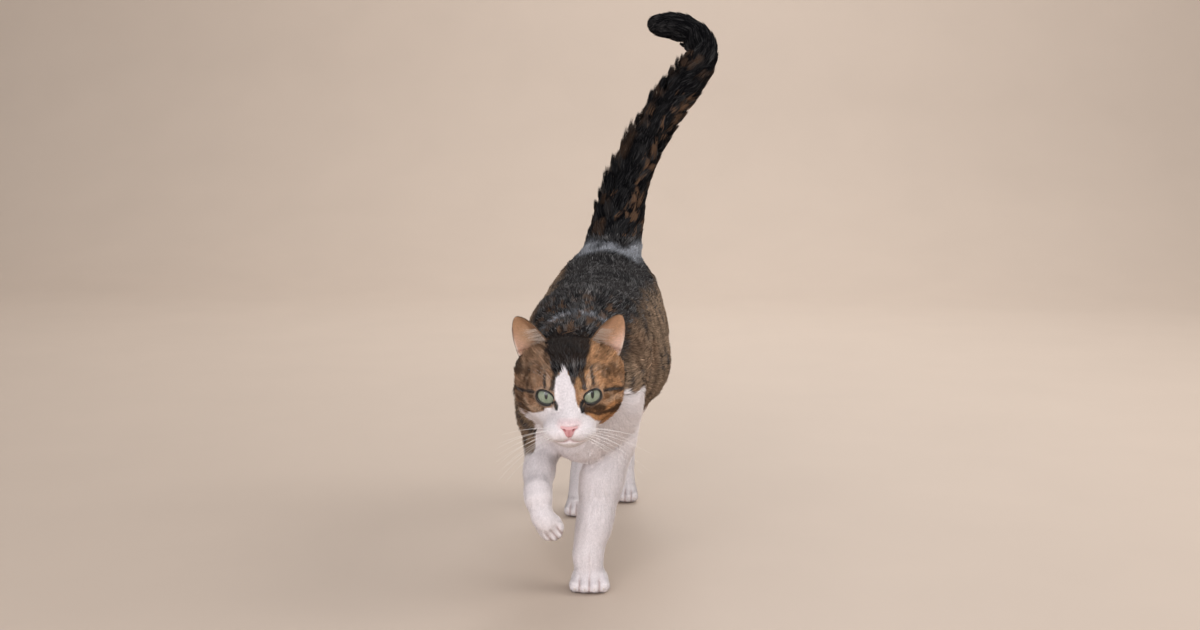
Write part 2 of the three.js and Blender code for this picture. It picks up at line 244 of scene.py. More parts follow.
def mesh_of(name, points, faces):
    """A mesh from rows of points and rows of equal faces."""
    count, corners = faces.shape
    mesh = bpy.data.meshes.new(name)
    mesh.vertices.add(len(points))
    mesh.vertices.foreach_set("co", np.asarray(points, np.float32).ravel())
    mesh.loops.add(count * corners)
    mesh.loops.foreach_set("vertex_index", np.asarray(faces, np.int32).ravel())
    mesh.polygons.add(count)
    mesh.polygons.foreach_set("loop_start", np.arange(0, count * corners, corners, dtype=np.int32))
    mesh.update(calc_edges=True)
    mesh.polygons.foreach_set("use_smooth", np.ones(count, bool))
    return mesh


def placed(name, mesh, finish):
    piece = bpy.data.objects.new(name, mesh)
    mesh.materials.append(finish.material)
    bpy.context.scene.collection.objects.link(piece)
    return piece


def sheet_faces(rows, columns, closed=False):
    """The faces of a grid of points; closed joins each row's ends."""
    across = columns if closed else columns - 1
    row, column = np.meshgrid(np.arange(rows - 1), np.arange(across), indexing="ij")
    nextward = (column + 1) % columns
    corners = [row * columns + column, row * columns + nextward]
    corners += [(row + 1) * columns + nextward, (row + 1) * columns + column]
    return np.stack(corners, -1).reshape(-1, 4)


floor_finish = Finish("floor", Roughness=0.65)
grain = floor_finish.noise(6, 4)
lighter, darker = paint(FLOOR_TONE * 1.03), paint(FLOOR_TONE * 0.96)
floor_finish.feed(Base_Color=floor_finish.mixed(grain, darker, lighter))
sweep = [(-4.0, 0.0), (2.0, 0.0)]
sweep += [(2.0 + 1.2 * math.sin(a), 1.2 - 1.2 * math.cos(a)) for a in np.linspace(0.1, math.pi / 2, 14)]
sweep += [(3.2, 5.0)]
sides = np.linspace(-5, 5, 11)
floor_points = np.array([(x, y, z) for y, z in sweep for x in sides])
floor = placed("floor", mesh_of("floor", floor_points, sheet_faces(len(sweep), len(sides))), floor_finish)


# ---- Skin ----
# One skin over the whole cat, from the nose to the tip of the tail. It lies under the outline of the solids
# by the depth of the coat, and it carries the coat's markings, so that none of it shows between the hairs.

FLESH = [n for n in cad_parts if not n.startswith(("eye", "ear"))]
SEAM_FILL = 0.0004
SKIN_GRID = 0.0024


def mesh_arrays(mesh):
    """A mesh's points, and its faces as triangles."""
    points = np.empty(len(mesh.vertices) * 3, np.float32)
    mesh.vertices.foreach_get("co", points)
    mesh.calc_loop_triangles()
    triangles = np.empty(len(mesh.loop_triangles) * 3, np.int32)
    mesh.loop_triangles.foreach_get("vertices", triangles)
    return points.reshape(-1, 3).astype(float), triangles.reshape(-1, 3)


def unit(vectors):
    return vectors / np.maximum(np.linalg.norm(vectors, axis=-1, keepdims=True), 1e-12)


def along_skin(vectors, normals):
    """Ways of length one, without the part of them that leaves the skin."""
    return unit(vectors - (vectors * normals).sum(1)[:, None] * normals)


def point_normals(points, triangles):
    a, b, c = (points[triangles[:, i]] for i in range(3))
    face = np.cross(b - a, c - a)
    sums = [
        sum(np.bincount(triangles[:, i], face[:, axis], len(points)) for i in range(3)) for axis in range(3)
    ]
    return unit(np.stack(sums, 1))


def remeshed(name, mesh, grid):
    """The outer surface of closed pieces, as one fine even mesh."""
    rough = bpy.data.objects.new(name, mesh)
    bpy.context.scene.collection.objects.link(rough)
    remesh = rough.modifiers.new("remesh", "REMESH")
    remesh.mode = "VOXEL"
    remesh.voxel_size = grid
    view = rough.evaluated_get(bpy.context.evaluated_depsgraph_get())
    fine = bpy.data.meshes.new_from_object(view)
    bpy.data.objects.remove(rough)
    return fine


def grown(nodes, distance):
    """Copies of CAD nodes in one mesh, each swollen a little, so that they touch."""
    whole = bmesh.new()
    for node in nodes:
        whole.from_mesh(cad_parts[node].data)
    bmesh.ops.remove_doubles(whole, verts=whole.verts, dist=1e-6)
    whole.normal_update()
    for vertex in whole.verts:
        vertex.co += vertex.normal * distance
    mesh = bpy.data.meshes.new("grown")
    whole.to_mesh(mesh)
    whole.free()
    return mesh


class Net:
    """Points and the edges between them, for evening out what lies on them."""

    def __init__(self, mesh):
        pairs = np.empty(len(mesh.edges) * 2, np.int32)
        mesh.edges.foreach_get("vertices", pairs)
        pairs = pairs.reshape(-1, 2)
        self.count = len(mesh.vertices)
        self.ends = np.concatenate([pairs[:, 0], pairs[:, 1]])
        self.others = np.concatenate([pairs[:, 1], pairs[:, 0]])
        self.valence = np.maximum(np.bincount(self.ends, minlength=self.count), 1)

    def mean(self, values):
        columns = values.reshape(self.count, -1).T
        sums = [np.bincount(self.ends, column[self.others], self.count) / self.valence for column in columns]
        return np.stack(sums, 1).reshape(values.shape)

    def evened(self, values, rounds):
        for _ in range(rounds):
            values = values + 0.5 * (self.mean(values) - values)
        return values

    def smoothed(self, points, rounds, share):
        """Evens out small bumps, and keeps the large forms from shrinking."""
        for _ in range(rounds):
            points = points + 0.5 * share * (self.mean(points) - points)
            points = points - 0.526 * share * (self.mean(points) - points)
        return points

    def joined_to(self, start):
        reached = np.zeros(self.count, bool)
        reached[start] = True
        before = 0
        while reached.sum() > before:
            before = reached.sum()
            for _ in range(8):
                reached[self.others[reached[self.ends]]] = True
        return reached


def ramp(values, low, high):
    """0 below low, 1 above high, and a smooth rise between them."""
    share = np.clip((values - low) / (high - low), 0, 1)
    return share * share * (3 - 2 * share)


# The nearest CAD node of any place on the cat.
owners, solid_points, solid_triangles = [], [], []
for index, node in enumerate(FLESH):
    points, triangles = mesh_arrays(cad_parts[node].data)
    solid_triangles.append(triangles + sum(len(p) for p in solid_points))
    solid_points.append(points)
    owners += [index] * len(triangles)
solids = BVHTree.FromPolygons(np.concatenate(solid_points).tolist(), np.concatenate(solid_triangles).tolist())


def part_of(points):
    return np.array([owners[solids.find_nearest(Vector(p))[2]] for p in points])


def in_part(part, *starts):
    chosen = [i for i, node in enumerate(FLESH) if node.startswith(starts)]
    return np.isin(part, chosen)


rough_skin = remeshed("rough_skin", grown(FLESH + ["eye_left", "eye_right"], SEAM_FILL), SKIN_GRID)
points, triangles = mesh_arrays(rough_skin)
net = Net(rough_skin)
part = part_of(points)
fine_share = net.evened(np.where(in_part(part, "head", "nose", "forepaw", "hindpaw"), 0.3, 1.0), 6)
points = net.smoothed(points, 50, fine_share[:, None])

# The face and the paws are divided once more, for the lids, lips and toes.
shape = bmesh.new()
rough_skin.vertices.foreach_set("co", points.astype(np.float32).ravel())
shape.from_mesh(rough_skin)
shape.verts.ensure_lookup_table()
head_y = head_places(points)[:, 1]
finer = (in_part(part, "head", "nose") & (head_y < -8)) | in_part(part, "forepaw", "hindpaw")
kept = net.joined_to(int(np.argmax(points[:, 2])))
chosen = [f for f in shape.faces if all(finer[v.index] for v in f.verts)]
edges = list({e for f in chosen for e in f.edges})
loose = [shape.verts[i] for i in np.where(~kept)[0]]
bmesh.ops.subdivide_edges(shape, edges=edges, cuts=1, use_grid_fill=True)
bmesh.ops.delete(shape, geom=loose, context="VERTS")
bmesh.ops.triangulate(shape, faces=[f for f in shape.faces if len(f.verts) > 4])
skin_mesh = bpy.data.meshes.new("skin")
shape.to_mesh(skin_mesh)
shape.free()
print("skin faces", len(skin_mesh.polygons), "dropped", len(loose))
points, triangles = mesh_arrays(skin_mesh)
net = Net(skin_mesh)
part = part_of(points)
points = net.smoothed(points, 4, 0.8)
body, head = body_places(points), head_places(points)
head_all = in_part(part, "head", "nose")

# How deep the coat is, and how long and wide its tufts are, in millimetres.
ZONES = {
    "face": (1.1, 3.6, 0.48),
    "crown": (2.3, 7, 0.5),
    "cheek": (2.4, 8, 0.6),
    "ear_base": (1.5, 9, 0.48),
    "neck": (3.2, 12, 0.85),
    "chest": (3.4, 13, 0.9),
    "back": (2.6, 10, 0.75),
    "flank": (2.8, 9.5, 0.7),
    "belly": (3.2, 13, 1.0),
    "shoulder": (2.2, 9, 0.75),
    "leg": (1.6, 6, 0.65),
    "paw": (1.0, 3.4, 0.5),
    "tail": (5.2, 14, 0.85),
    "tail_tip": (3.0, 10, 0.8),
}


def zones_of(part, body, head):
    names = list(ZONES)
    _, y, z = body.T
    zone = np.full(len(part), names.index("flank"))

    def mark(name, where):
        zone[where] = names.index(name)

    mark("back", z > 214)
    mark("belly", z < 140)
    mark("chest", y < -96)
    mark("neck", in_part(part, "neck") | ((y < -96) & (z > 196)))
    legs = in_part(part, "foreleg", "hindleg")
    mark("shoulder", legs & (z < 168))
    mark("leg", legs & (z < 122))
    mark("paw", in_part(part, "forepaw", "hindpaw"))
    mark("tail", in_part(part, "tail"))
    mark("tail_tip", in_part(part, "tail_tip") & (body[:, 0] < 72) & (z > 440))
    on_head_now = in_part(part, "head", "nose")
    mark("crown", on_head_now)
    mark("cheek", on_head_now & (head[:, 1] > -24) & (head[:, 2] < 4))
    mark("face", on_head_now & (head[:, 1] < -22) & (head[:, 2] < 24))
    ear_root = np.abs(head) * [1, 0, 0] + head * [0, 1, 1] - [25, 1.5, 31]
    mark("ear_base", on_head_now & (np.linalg.norm(ear_root, axis=1) < 12.5))
    return zone


zone = zones_of(part, body, head)
depth, length, width = net.evened(np.array([ZONES[n] for n in ZONES])[zone], 16).T


def from_line(places, line):
    """The distance of flat places from a line of points."""
    nearest = np.full(len(places), 1e9)
    for start, end in zip(np.array(line[:-1], float), np.array(line[1:], float)):
        along = end - start
        share = np.clip((places - start) @ along / (along @ along), 0, 1)
        nearest = np.minimum(nearest, np.linalg.norm(places - start - share[:, None] * along, axis=1))
    return nearest


# ---- under the lids, round each eye ----
EYE_RADIUS = 10.5
CORNEA_RISE = 1.0
EYE_TURN, EYE_LIFT = 9, 7
LENS_TILT = 24
LENS_CORNER, LENS_HALF, LENS_TOP, LENS_BOTTOM = -1.3, 8.0, 5.5, 7.6
DUCT = [(-6.5, -2.8), (-10.4, -5.4)]
LEFT, RIGHT = 1, -1


def eye_seat(side):
    """An eye's centre, and its axes: x to the cat's left, y backwards along its gaze, z up."""
    centre = on_head((EYE_PLACE[0] * side, EYE_PLACE[1], EYE_PLACE[2]))
    return centre, head_turn @ turned(-EYE_LIFT, 0, EYE_TURN * side)


def lens_places(points, side):
    """Across to an eye's outer corner, up and forwards in its own tilted opening, in millimetres."""
    centre, gaze = eye_seat(side)
    local = (points - centre) / MM @ gaze
    tilt = math.radians(LENS_TILT)
    across = side * local[:, 0] * math.cos(tilt) + local[:, 2] * math.sin(tilt)
    up = -side * local[:, 0] * math.sin(tilt) + local[:, 2] * math.cos(tilt)
    return across, up, -local[:, 1]


def ball_reach(angle):
    """How far the eye's surface is from its centre, at an angle from its gaze: the clear front bulges."""
    return EYE_RADIUS + CORNEA_RISE * (1 - ramp(np.degrees(angle), 8, 52))


def over_eye(across, up, rise, side):
    """Places over the eye's surface by that rise."""
    centre, gaze = eye_seat(side)
    tilt = math.radians(LENS_TILT)
    x = side * (across * math.cos(tilt) - up * math.sin(tilt))
    z = across * math.sin(tilt) + up * math.cos(tilt)
    radius = ball_reach(np.arcsin(np.minimum(np.hypot(across, up) / (EYE_RADIUS + 0.6), 1))) + rise
    forwards = np.sqrt(np.maximum(radius**2 - across**2 - up**2, 0))
    return centre + (np.stack([x, -forwards, z], -1) * MM) @ gaze.T


def outside_lids(points, side):
    """How far a place is outside the black rims, in millimetres, and negative within them."""
    across, up, forwards = lens_places(points, side)
    duct = from_line(np.stack([across, up], -1), DUCT) - 1.5
    across, up = np.maximum(np.abs(across - 0.2), 0.001), up - LENS_CORNER
    half = np.where(up > 0, LENS_TOP, LENS_BOTTOM)
    share = ((across / LENS_HALF) ** 2.2 + (np.abs(up) / half) ** 2.2) ** (1 / 2.2)
    return np.where(forwards > 0, np.minimum(np.hypot(across, up) * (1 - 1 / share), duct), 99)


def from_lids(points):
    return np.minimum(outside_lids(points, LEFT), outside_lids(points, RIGHT))


normals = point_normals(points, triangles)
lid_distance = from_lids(points)
depth = np.where(head_all, np.minimum(depth, 0.35 + 0.16 * np.maximum(lid_distance, 0)), depth)
points = points - normals * (depth * MM)[:, None]
for side in (LEFT, RIGHT):
    centre, gaze = eye_seat(side)
    away = outside_lids(points, side)
    across, up, forwards = lens_places(points, side)
    reach = np.linalg.norm(points - centre, axis=1) / MM
    ball = ball_reach(np.arctan2(np.hypot(across, up), forwards))
    brow = ball + 1.0 + 0.75 * np.maximum(away, 0)
    wanted = np.where(away < -0.6, EYE_RADIUS - 1.3, np.clip(reach, ball + 0.6, brow))
    share = ramp(5.5 - away, 0, 2.5) * (reach < 17)
    points = centre + (points - centre) * (1 + share * (wanted / np.maximum(reach, 1) - 1))[:, None]

# ---- the hollow in front of each ear, down which its cup opens ----
EAR_LENGTH, EAR_HALF_WIDTH, EAR_THICKNESS = 42.5, 15.5, 2.4


def ear_seat(side):
    return np.array([22 * side, 10, 17.5]), turned(-20, 27 * side, 30 * side)


def ear_curve(rise):
    """The half angle of an ear's curl at a share of its length, and the radius of that curl."""
    width = EAR_HALF_WIDTH * np.minimum(1, 0.85 + 0.5 * rise) * np.maximum(1 - rise**2.4, 1e-4) ** 0.6
    curl = np.radians(88 - 50 * rise)
    return curl, width / np.sin(curl)


head = head_places(points)
for side in (LEFT, RIGHT):
    base, seat = ear_seat(side)
    local = (head - base) @ seat
    curl, radius = ear_curve(np.clip(local[:, 2] / EAR_LENGTH, 0, 1))
    within = radius - 1.2 - np.hypot(local[:, 0], local[:, 1] + radius * np.cos(curl))
    floor_of_cup = 27.5 - 0.018 * (np.abs(head[:, 0]) - 15) ** 2 + 0.344 * (16 - head[:, 1])
    drop = ramp(within, -0.5, 2.5) * np.maximum(head[:, 2] - floor_of_cup, 0) * head_all
    head[:, 2] -= np.where(local[:, 2] > -5, drop, 0)
points = np.where(head_all[:, None], on_head(head), points)

# ---- the line of the mouth, as a groove in from the nose and out under each lip ----
MOUTH = [(0, -17.5), (0, -22.2)], [(0, -22.0), (4, -24.1), (8.5, -24.8), (13, -22.8), (16, -19.5)]


def from_mouth(head):
    flat = np.stack([np.abs(head[:, 0]), head[:, 2]], 1)
    gap = np.minimum(from_line(flat, MOUTH[0]), from_line(flat, MOUTH[1]))
    return np.where(head[:, 1] < -34, gap, 99)


head = head_places(points)
gap = from_mouth(head)
sunk = 1.9 * np.exp(-((gap / 1.0) ** 2))
nose_share = net.evened(in_part(part, "nose").astype(float), 3)
nose_share = nose_share * ramp(-head[:, 2], 10, 11.6)
head[:, 1] += np.where(head_all, sunk + 2.4 * nose_share, 0)
points = np.where(head_all[:, None], on_head(head), points)

# ---- the clefts between the toes ----
PAWS = {
    "forepaw_left": ((7, -142, 0), 5, 0, 16.5),
    "forepaw_right": ((-24.5, -172, 66.5), 36, 80, 10.2),
    "hindpaw_left": ((12, 159, 0), 2, 0, 12.5),
    "hindpaw_right": ((-31, 98, 0), 2, 0, 12.5),
}


def paw_places(body, node):
    """Places on a paw: x across its toes, -y along them, and z up from its sole, with its half width."""
    ball, heading, dip, half = PAWS[node]
    return (body - np.array(ball)) @ turned(dip, 0, heading), half


def toe_clefts(body, node):
    """How far places are from the nearest cleft between a paw's toes, and how far along the paw they are."""
    local, half = paw_places(body, node)
    return np.min([np.abs(local[:, 0] - step * half * 0.49) for step in (-1, 0, 1)], axis=0), -local[:, 1]


body = body_places(points)
for node in PAWS:
    cleft, along = toe_clefts(body, node)
    sunk = 1.5 * np.exp(-((cleft / 1.1) ** 2)) * ramp(along, 5, 11) * in_part(part, node)
    inwards = turned(PAWS[node][2], 0, PAWS[node][1]) @ np.array([0, 0.75, -0.65])
    points = points + (sunk[:, None] * inwards) * MM
points[:, 2] = np.maximum(points[:, 2], 0.0004)
skin_mesh.vertices.foreach_set("co", points.astype(np.float32).ravel())
skin_mesh.update()
normals = point_normals(points, triangles)
body, head = body_places(points), head_places(points)


# ---- Markings ----
# White below and on the blaze, brown tabby over it, a black crown and a dark saddle. The same colours go on
# the skin and on each tuft, which adds its own small difference and a painted shade, darkest at its root.

WHITE = tone(242, 234, 236)
BLACK = tone(13, 13, 16)
SADDLE = tone(33, 31, 32)
FLANK = tone(134, 114, 96)
STRIPE = tone(46, 39, 35)
# Painted sheen: light on the dark fur, for the nape and the rump.
PAINTED_SHEEN = tone(146, 149, 156)
BROWN = tone(135, 105, 83)
TAN = tone(167, 125, 91)
GOLD = tone(172, 138, 98)
# Painted shade between the toes.
TOE_CLEFT_SHADE = tone(176, 140, 132)
TICK = tone(158, 156, 156)
GINGER = tone(176, 128, 88)
DARK = tone(44, 34, 29)
BEIGE = tone(196, 170, 146)
BARE = tone(222, 176, 178)


STRIPE_WIDTH = 13
# How high the white reaches up the body, by the place along it.
WHITE_LINE = (
    [-200, -150, -125, -105, -70, -30, 0, 40, 75, 100, 160],
    [178, 170, 165, 158, 139, 128, 124, 120, 112, 102, 104],
)
# The tail's middle line across, by its height.
TAIL_MIDDLE = [246, 272, 292, 318, 368, 408, 435], [-2, 1, 6, 11, 32, 58, 79]


def mottle(places, size, seed):
    """Soft random patches of about the size given, from 0 to 1."""
    lattice = np.random.default_rng(seed).random((16, 16, 16))
    spot = places / size + 100
    cell = np.floor(spot).astype(int)
    rest = spot - cell
    rest = rest * rest * (3 - 2 * rest)
    total = np.zeros(len(places))
    for corner in np.ndindex(2, 2, 2):
        share = np.prod(np.where(corner, rest, 1 - rest), axis=1)
        total += share * lattice[tuple(((cell + corner) % 16).T)]
    return total


def blended(first, second, share):
    return first + (second - first) * np.asarray(share)[..., None]


def body_colours(part, body):
    x, y, z = body.T
    wobble = mottle(body, 12, 1) - 0.5
    fine = mottle(body, 4, 2) - 0.5
    # The dark saddle, and stripes down the flanks.
    saddle = ramp(50 - np.abs(x) + 16 * wobble, 0, 16) * ramp(z + 8 * wobble, 188, 210)
    course = y - 0.0006 * (y + 120) ** 2 + 0.2 * (z - 190)
    course = course + 26 * (mottle(body, 38, 3) - 0.5) + 8 * (mottle(body, 13, 9) - 0.5)
    stripe = ramp(np.sin(course * (2 * math.pi / STRIPE_WIDTH)) + 0.9 * fine + 0.5 * wobble, -0.2, 0.6)
    broken = 0.45 + 0.55 * ramp(mottle(body * [1, 1, 0.7], 15, 10), 0.25, 0.55)
    colours = blended(FLANK + 0 * body, STRIPE, 0.95 * stripe * broken)
    colours = blended(colours, BROWN, 0.3 * ramp(mottle(body, 26, 11), 0.45, 0.7))
    colours = blended(colours, SADDLE, saddle)
    colours = blended(colours, BLACK, saddle * ramp(mottle(body, 17, 4) + 0.6 * fine, 0.5, 0.75) * 0.8)
    # Brown flecks on the nape, a painted highlight on the fur just behind the skull, and a painted sheen on
    # the rump.
    nape = ramp(-y, 100, 125) * ramp(z, 196, 208)
    colours = blended(colours, BROWN * 0.7, 0.5 * nape * ramp(mottle(body, 4.2, 6) + 0.4 * fine, 0.5, 0.8))
    nape_highlight = np.exp(-(((y + 149 + 0.1 * np.abs(x)) / 4.5) ** 2))
    nape_highlight = nape_highlight * ramp(34 - np.abs(x), 0, 10) * ramp(z, 200, 209)
    colours = blended(colours, PAINTED_SHEEN, 0.75 * nape_highlight * ramp(mottle(body, 3, 7), 0.1, 0.6))
    rump_sheen = ramp(z + 10 * wobble, 238, 262) * ramp(271 - z + 12 * wobble, 0, 9) * ramp(y, 90, 104)
    rump_sheen = rump_sheen * ramp(36 - np.abs(x), 0, 13)
    colours = blended(colours, PAINTED_SHEEN, 0.95 * rump_sheen)
    # White below, higher over the breast, with a tabby patch on the right shoulder.
    low = np.interp(y, *WHITE_LINE)
    patch = ramp(-x + 6 * wobble, 33, 38) * ramp(-y, 20, 40)
    low = low + (np.minimum(low, 116) - low) * patch
    ragged = (9 + 9 * patch) * wobble + (4 + 4 * patch) * fine
    colours = blended(colours, WHITE, ramp(low + ragged - z, -2, 2))
    # The tail is black, with fine brown mottling on its left, a brown fringe on its right, and a plain tip.
    tail = in_part(part, "tail") & (z > 271) | (z > 276)
    aside = x - np.interp(z, *TAIL_MIDDLE)
    flecks = ramp(mottle(body, 3.4, 5) + 0.25 * ramp(aside, 0, 9) + 0.4 * fine, 0.78, 1.0)
    flecks = np.maximum(flecks, 0.35 * ramp(-aside, 8, 12) * ramp(mottle(body, 8, 8), 0.4, 0.65))
    inner = np.hypot(x - 77, z - 449)
    bend = 0.5 * ramp(11 - inner, 0, 5) * ramp(fine, -0.2, 0.2)
    flecks = np.maximum(flecks * (1 - ramp(z, 415, 450)), bend)
    colours = np.where(tail[:, None], blended(BLACK * 0.8 + 0 * body, BROWN * 0.8, 0.55 * flecks), colours)
    ticking = np.where(z > low, np.where(tail, 0.35, 1.0), 0.12)
    return colours, ticking


def seen(head):
    """Places on the face as they look from in front and a little above it: across, and up from the eyes."""
    up = (head[:, 2] - EYE_PLACE[2]) * 0.94 + (np.minimum(head[:, 1], -4) + 37) * 0.342
    return np.stack([head[:, 0], up], 1)


# The white of the face, as seen: the blaze's edges on the cat's right and left, across by the place up, and
# the line over the cheeks, up by the place across.
BLAZE_RIGHT_EDGE = (
    [-7.8, -4.1, -1, 3.4, 7.2, 10.9, 15, 15.9, 19, 23],
    [-8.6, -9.2, -10.8, -11.2, -10.8, -10.1, -9, -7.2, -5.2, -4.2],
)
BLAZE_LEFT_EDGE = (
    [-7.5, -3.8, 0.6, 5.6, 10, 13.2, 18.3, 21.4, 23],
    [7.2, 5.9, 4.6, 4.0, 3.3, 1.5, -0.6, -1.6, -3.6],
)
CHEEK_LINE = (
    [-46, -40, -37, -33, -30, -22.6, -16, -11.5, -9, 7.4, 10, 11.7, 16, 20.9, 26, 31, 36, 40, 44],
    [0, -1, -6, -9.6, -10.9, -10.2, -8.9, -8.4, -8.2, -7.8, -10, -12.7, -15.9, -18.6, -18.6, -16, -11, -6,
     -5],
)


def head_colours(head):
    flat = seen(head)
    across, up = flat.T
    wobble = mottle(head, 9, 11) - 0.5
    fine = mottle(head, 3, 12) - 0.5
    strands = mottle(np.stack([across, 0.2 * up, 0 * up], 1), 1.7, 14) - 0.5

    def mark(line, half_width, soft=1.0):
        return 1 - ramp(from_line(flat, line) + 1.2 * fine, half_width - soft / 2, half_width + soft)

    # Brown on the right of the face, tan on its left.
    colours = blended(BROWN + 0 * head, TAN, ramp(across, -6, 12))
    colours = blended(colours, DARK, 0.55 * ramp(mottle(head, 7, 13) + 0.4 * fine, 0.52, 0.75))
    colours = blended(colours, DARK, 0.45 * ramp(mottle(head, 3.6, 15) + 0.5 * strands, 0.5, 0.85))
    colours = blended(colours, BEIGE, 0.22 * ramp(mottle(head, 4.2, 16) - 0.5 * strands, 0.5, 0.85))
    cheek = ramp(across, 9, 16) * ramp(-up, 1, 5)
    colours = blended(colours, GINGER, 0.85 * cheek)
    pale = mark([(-33, -1), (-30, -6.5), (-22, -8)], 1.3) + mark([(36, 1), (30, -3), (22, -7)], 1.6)
    colours = blended(colours, BEIGE, 0.4 * np.clip(pale, 0, 1))
    brows = np.maximum(mark([(-16, 15), (-15, 9)], 1.6), mark([(15, 15), (15, 8)], 1.6))
    colours = blended(colours, BEIGE, 0.3 * brows)
    colours = blended(colours, GOLD, 0.3 * mark([(7.2, 14), (8.4, 5)], 1.5))
    # A thin ring of paler hair round each eye.
    points = on_head(head)
    lids = from_lids(points)
    colours = blended(colours, BEIGE, 0.15 * ramp(2.4 - lids, 0, 1.2))
    # The black crown, ragged below, with dark streaks that run down from it.
    crown = ramp(16 + 0.16 * np.maximum(up - 24, 0) - np.abs(across) + 4 * wobble + 5 * strands, 0, 3)
    crown = crown * ramp(up + 11 * strands, 16, 19)
    streaks = 0 * up
    for line, half in [
        ([(-8.0, 22), (-9.8, 15)], 2.0),
        ([(-9.5, 18), (-10.9, 13), (-12.1, 7)], 1.3),
        ([(1.6, 22), (3.6, 10.5)], 1.5),
        ([(8.6, 22), (9.8, 16)], 2.4),
        ([(9.4, 18), (12.0, 7)], 1.6),
        ([(17.2, 21), (18.7, 10.5)], 1.1),
        ([(-17.7, 17), (-17.9, 8)], 0.7),
    ]:
        streaks = np.maximum(streaks, 0.92 * mark(line, half))
    colours = blended(colours, DARK * 0.8, streaks)
    colours = blended(colours, BLACK, 0.95 * crown)
    # Dark lines out from the corners of the eyes and along the cheeks, and under the left eye.
    dark = 0 * up
    for line, half, share, soft in [
        ([(-40, 9), (-34.5, 6.3), (-27.0, 4.8)], 1.0, 1.0, 1.0),
        ([(27.5, 5), (32.8, 6.1), (42, 5.8)], 1.1, 1.0, 1.0),
        ([(13, -10.5), (22.3, -12.2), (31.3, -9.8), (37, -5)], 1.2, 0.85, 1.0),
        ([(-36.5, -2.6), (-29.8, -9.4)], 0.8, 0.7, 1.0),
        ([(-38.5, 3), (-31.5, -5.1)], 0.7, 0.6, 1.0),
        ([(12, -6.5), (17, -8), (25, -8)], 2.4, 0.85, 2.0),
        ([(31, 23), (38, 17)], 2.6, 0.5, 2.0),
        ([(-38.5, 28), (-36.5, 21)], 3.0, 0.75, 2.0),
    ]:
        dark = np.maximum(dark, share * mark(line, half, soft))
    colours = blended(colours, DARK, dark)
    # White: the blaze, the muzzle, the chin and the lower cheeks.
    left, right = np.interp(up, *BLAZE_RIGHT_EDGE), np.interp(up, *BLAZE_LEFT_EDGE)
    edge = 1.5 * fine + 0.8 * strands
    blaze = ramp(across - left + edge, -0.6, 0.6) * ramp(right - across + edge, -0.6, 0.6)
    blaze = blaze * ramp(22 - up + 5 * strands, 0, 1.5)
    brim = np.interp(across, *CHEEK_LINE)
    white = np.maximum(blaze, ramp(brim - up + 2 * fine, -0.8, 0.8))
    colours = blended(colours, WHITE, white)
    # Black at the inner corner of each eye, running down beside the nose.
    tears = mark([(-10.6, -3.4), (-9.7, -5.8), (-9.3, -8.6)], 1.1, 0.8)
    tears = np.maximum(tears, mark([(10.6, -3.0), (9.2, -6.5), (10.4, -10.6)], 1.3, 0.8))
    colours = blended(colours, BLACK, tears)
    # Pink skin shows through the thin hair round the nose and the mouth.
    rosy = 0.36 * ramp(6 - from_line(flat, [(-5, -20), (5, -20)]), 0, 4.5)
    rosy = np.maximum(rosy, 0.5 * ramp(2.0 - from_mouth(head), 0, 1.6) * ramp(13 - np.abs(across), 0, 6))
    colours = blended(colours, BARE, rosy * white)
    smooth_black = crown * ramp(up, 25, 31)
    return colours, np.where(white > 0.5, 0.1, np.where(crown > 0.5, 1.1 - 0.8 * smooth_black, 0.95))


def coat_colours(part, points):
    """The coat's colour at places on the skin, and how much its hairs differ from each other there."""
    places = body_places(points)
    colours, ticking = body_colours(part, places)
    on_face = in_part(part, "head", "nose")
    # Painted shade in the clefts between the toes.
    for node in PAWS:
        cleft, along = toe_clefts(places, node)
        shade = np.exp(-((cleft / 0.9) ** 2)) * ramp(along, 6, 12) * in_part(part, node)
        colours = blended(colours, TOE_CLEFT_SHADE, 0.6 * shade)
    if on_face.any():
        colours[on_face], ticking[on_face] = head_colours(head_places(points[on_face]))
    return colours, ticking


def set_colours(mesh, name, colours):
    rgba = np.ones((len(colours), 4), np.float32)
    rgba[:, :3] = colours
    mesh.color_attributes.new(name, "FLOAT_COLOR", "POINT").data.foreach_set("color", rgba.ravel())


skin_colours, _ = coat_colours(part, points)
set_colours(skin_mesh, "Coat", skin_colours)
skin_mesh.polygons.foreach_set("use_smooth", np.ones(len(skin_mesh.polygons), bool))

skin_finish = Finish("skin", Roughness=0.7)
pile = skin_finish.noise(900, 3)
skin_tone = skin_finish.attribute("Coat")
shade = skin_finish.mixed(pile, paint((0, 0, 0)), skin_tone)
skin_finish.feed(Base_Color=skin_finish.mixed(0.2, skin_tone, shade))
skin_finish.bump(pile, 0.0006)
skin = placed("skin", skin_mesh, skin_finish)
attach(skin, "root")
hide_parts(*[n for n in FLESH if n != "nose"])

# ---- The lie of the coat ----
# Hair lies back from the nose over the skull and down the neck, back along the body, down the legs and out
# along the tail. The strokes below run the way the hair lies, and between them it turns smoothly.

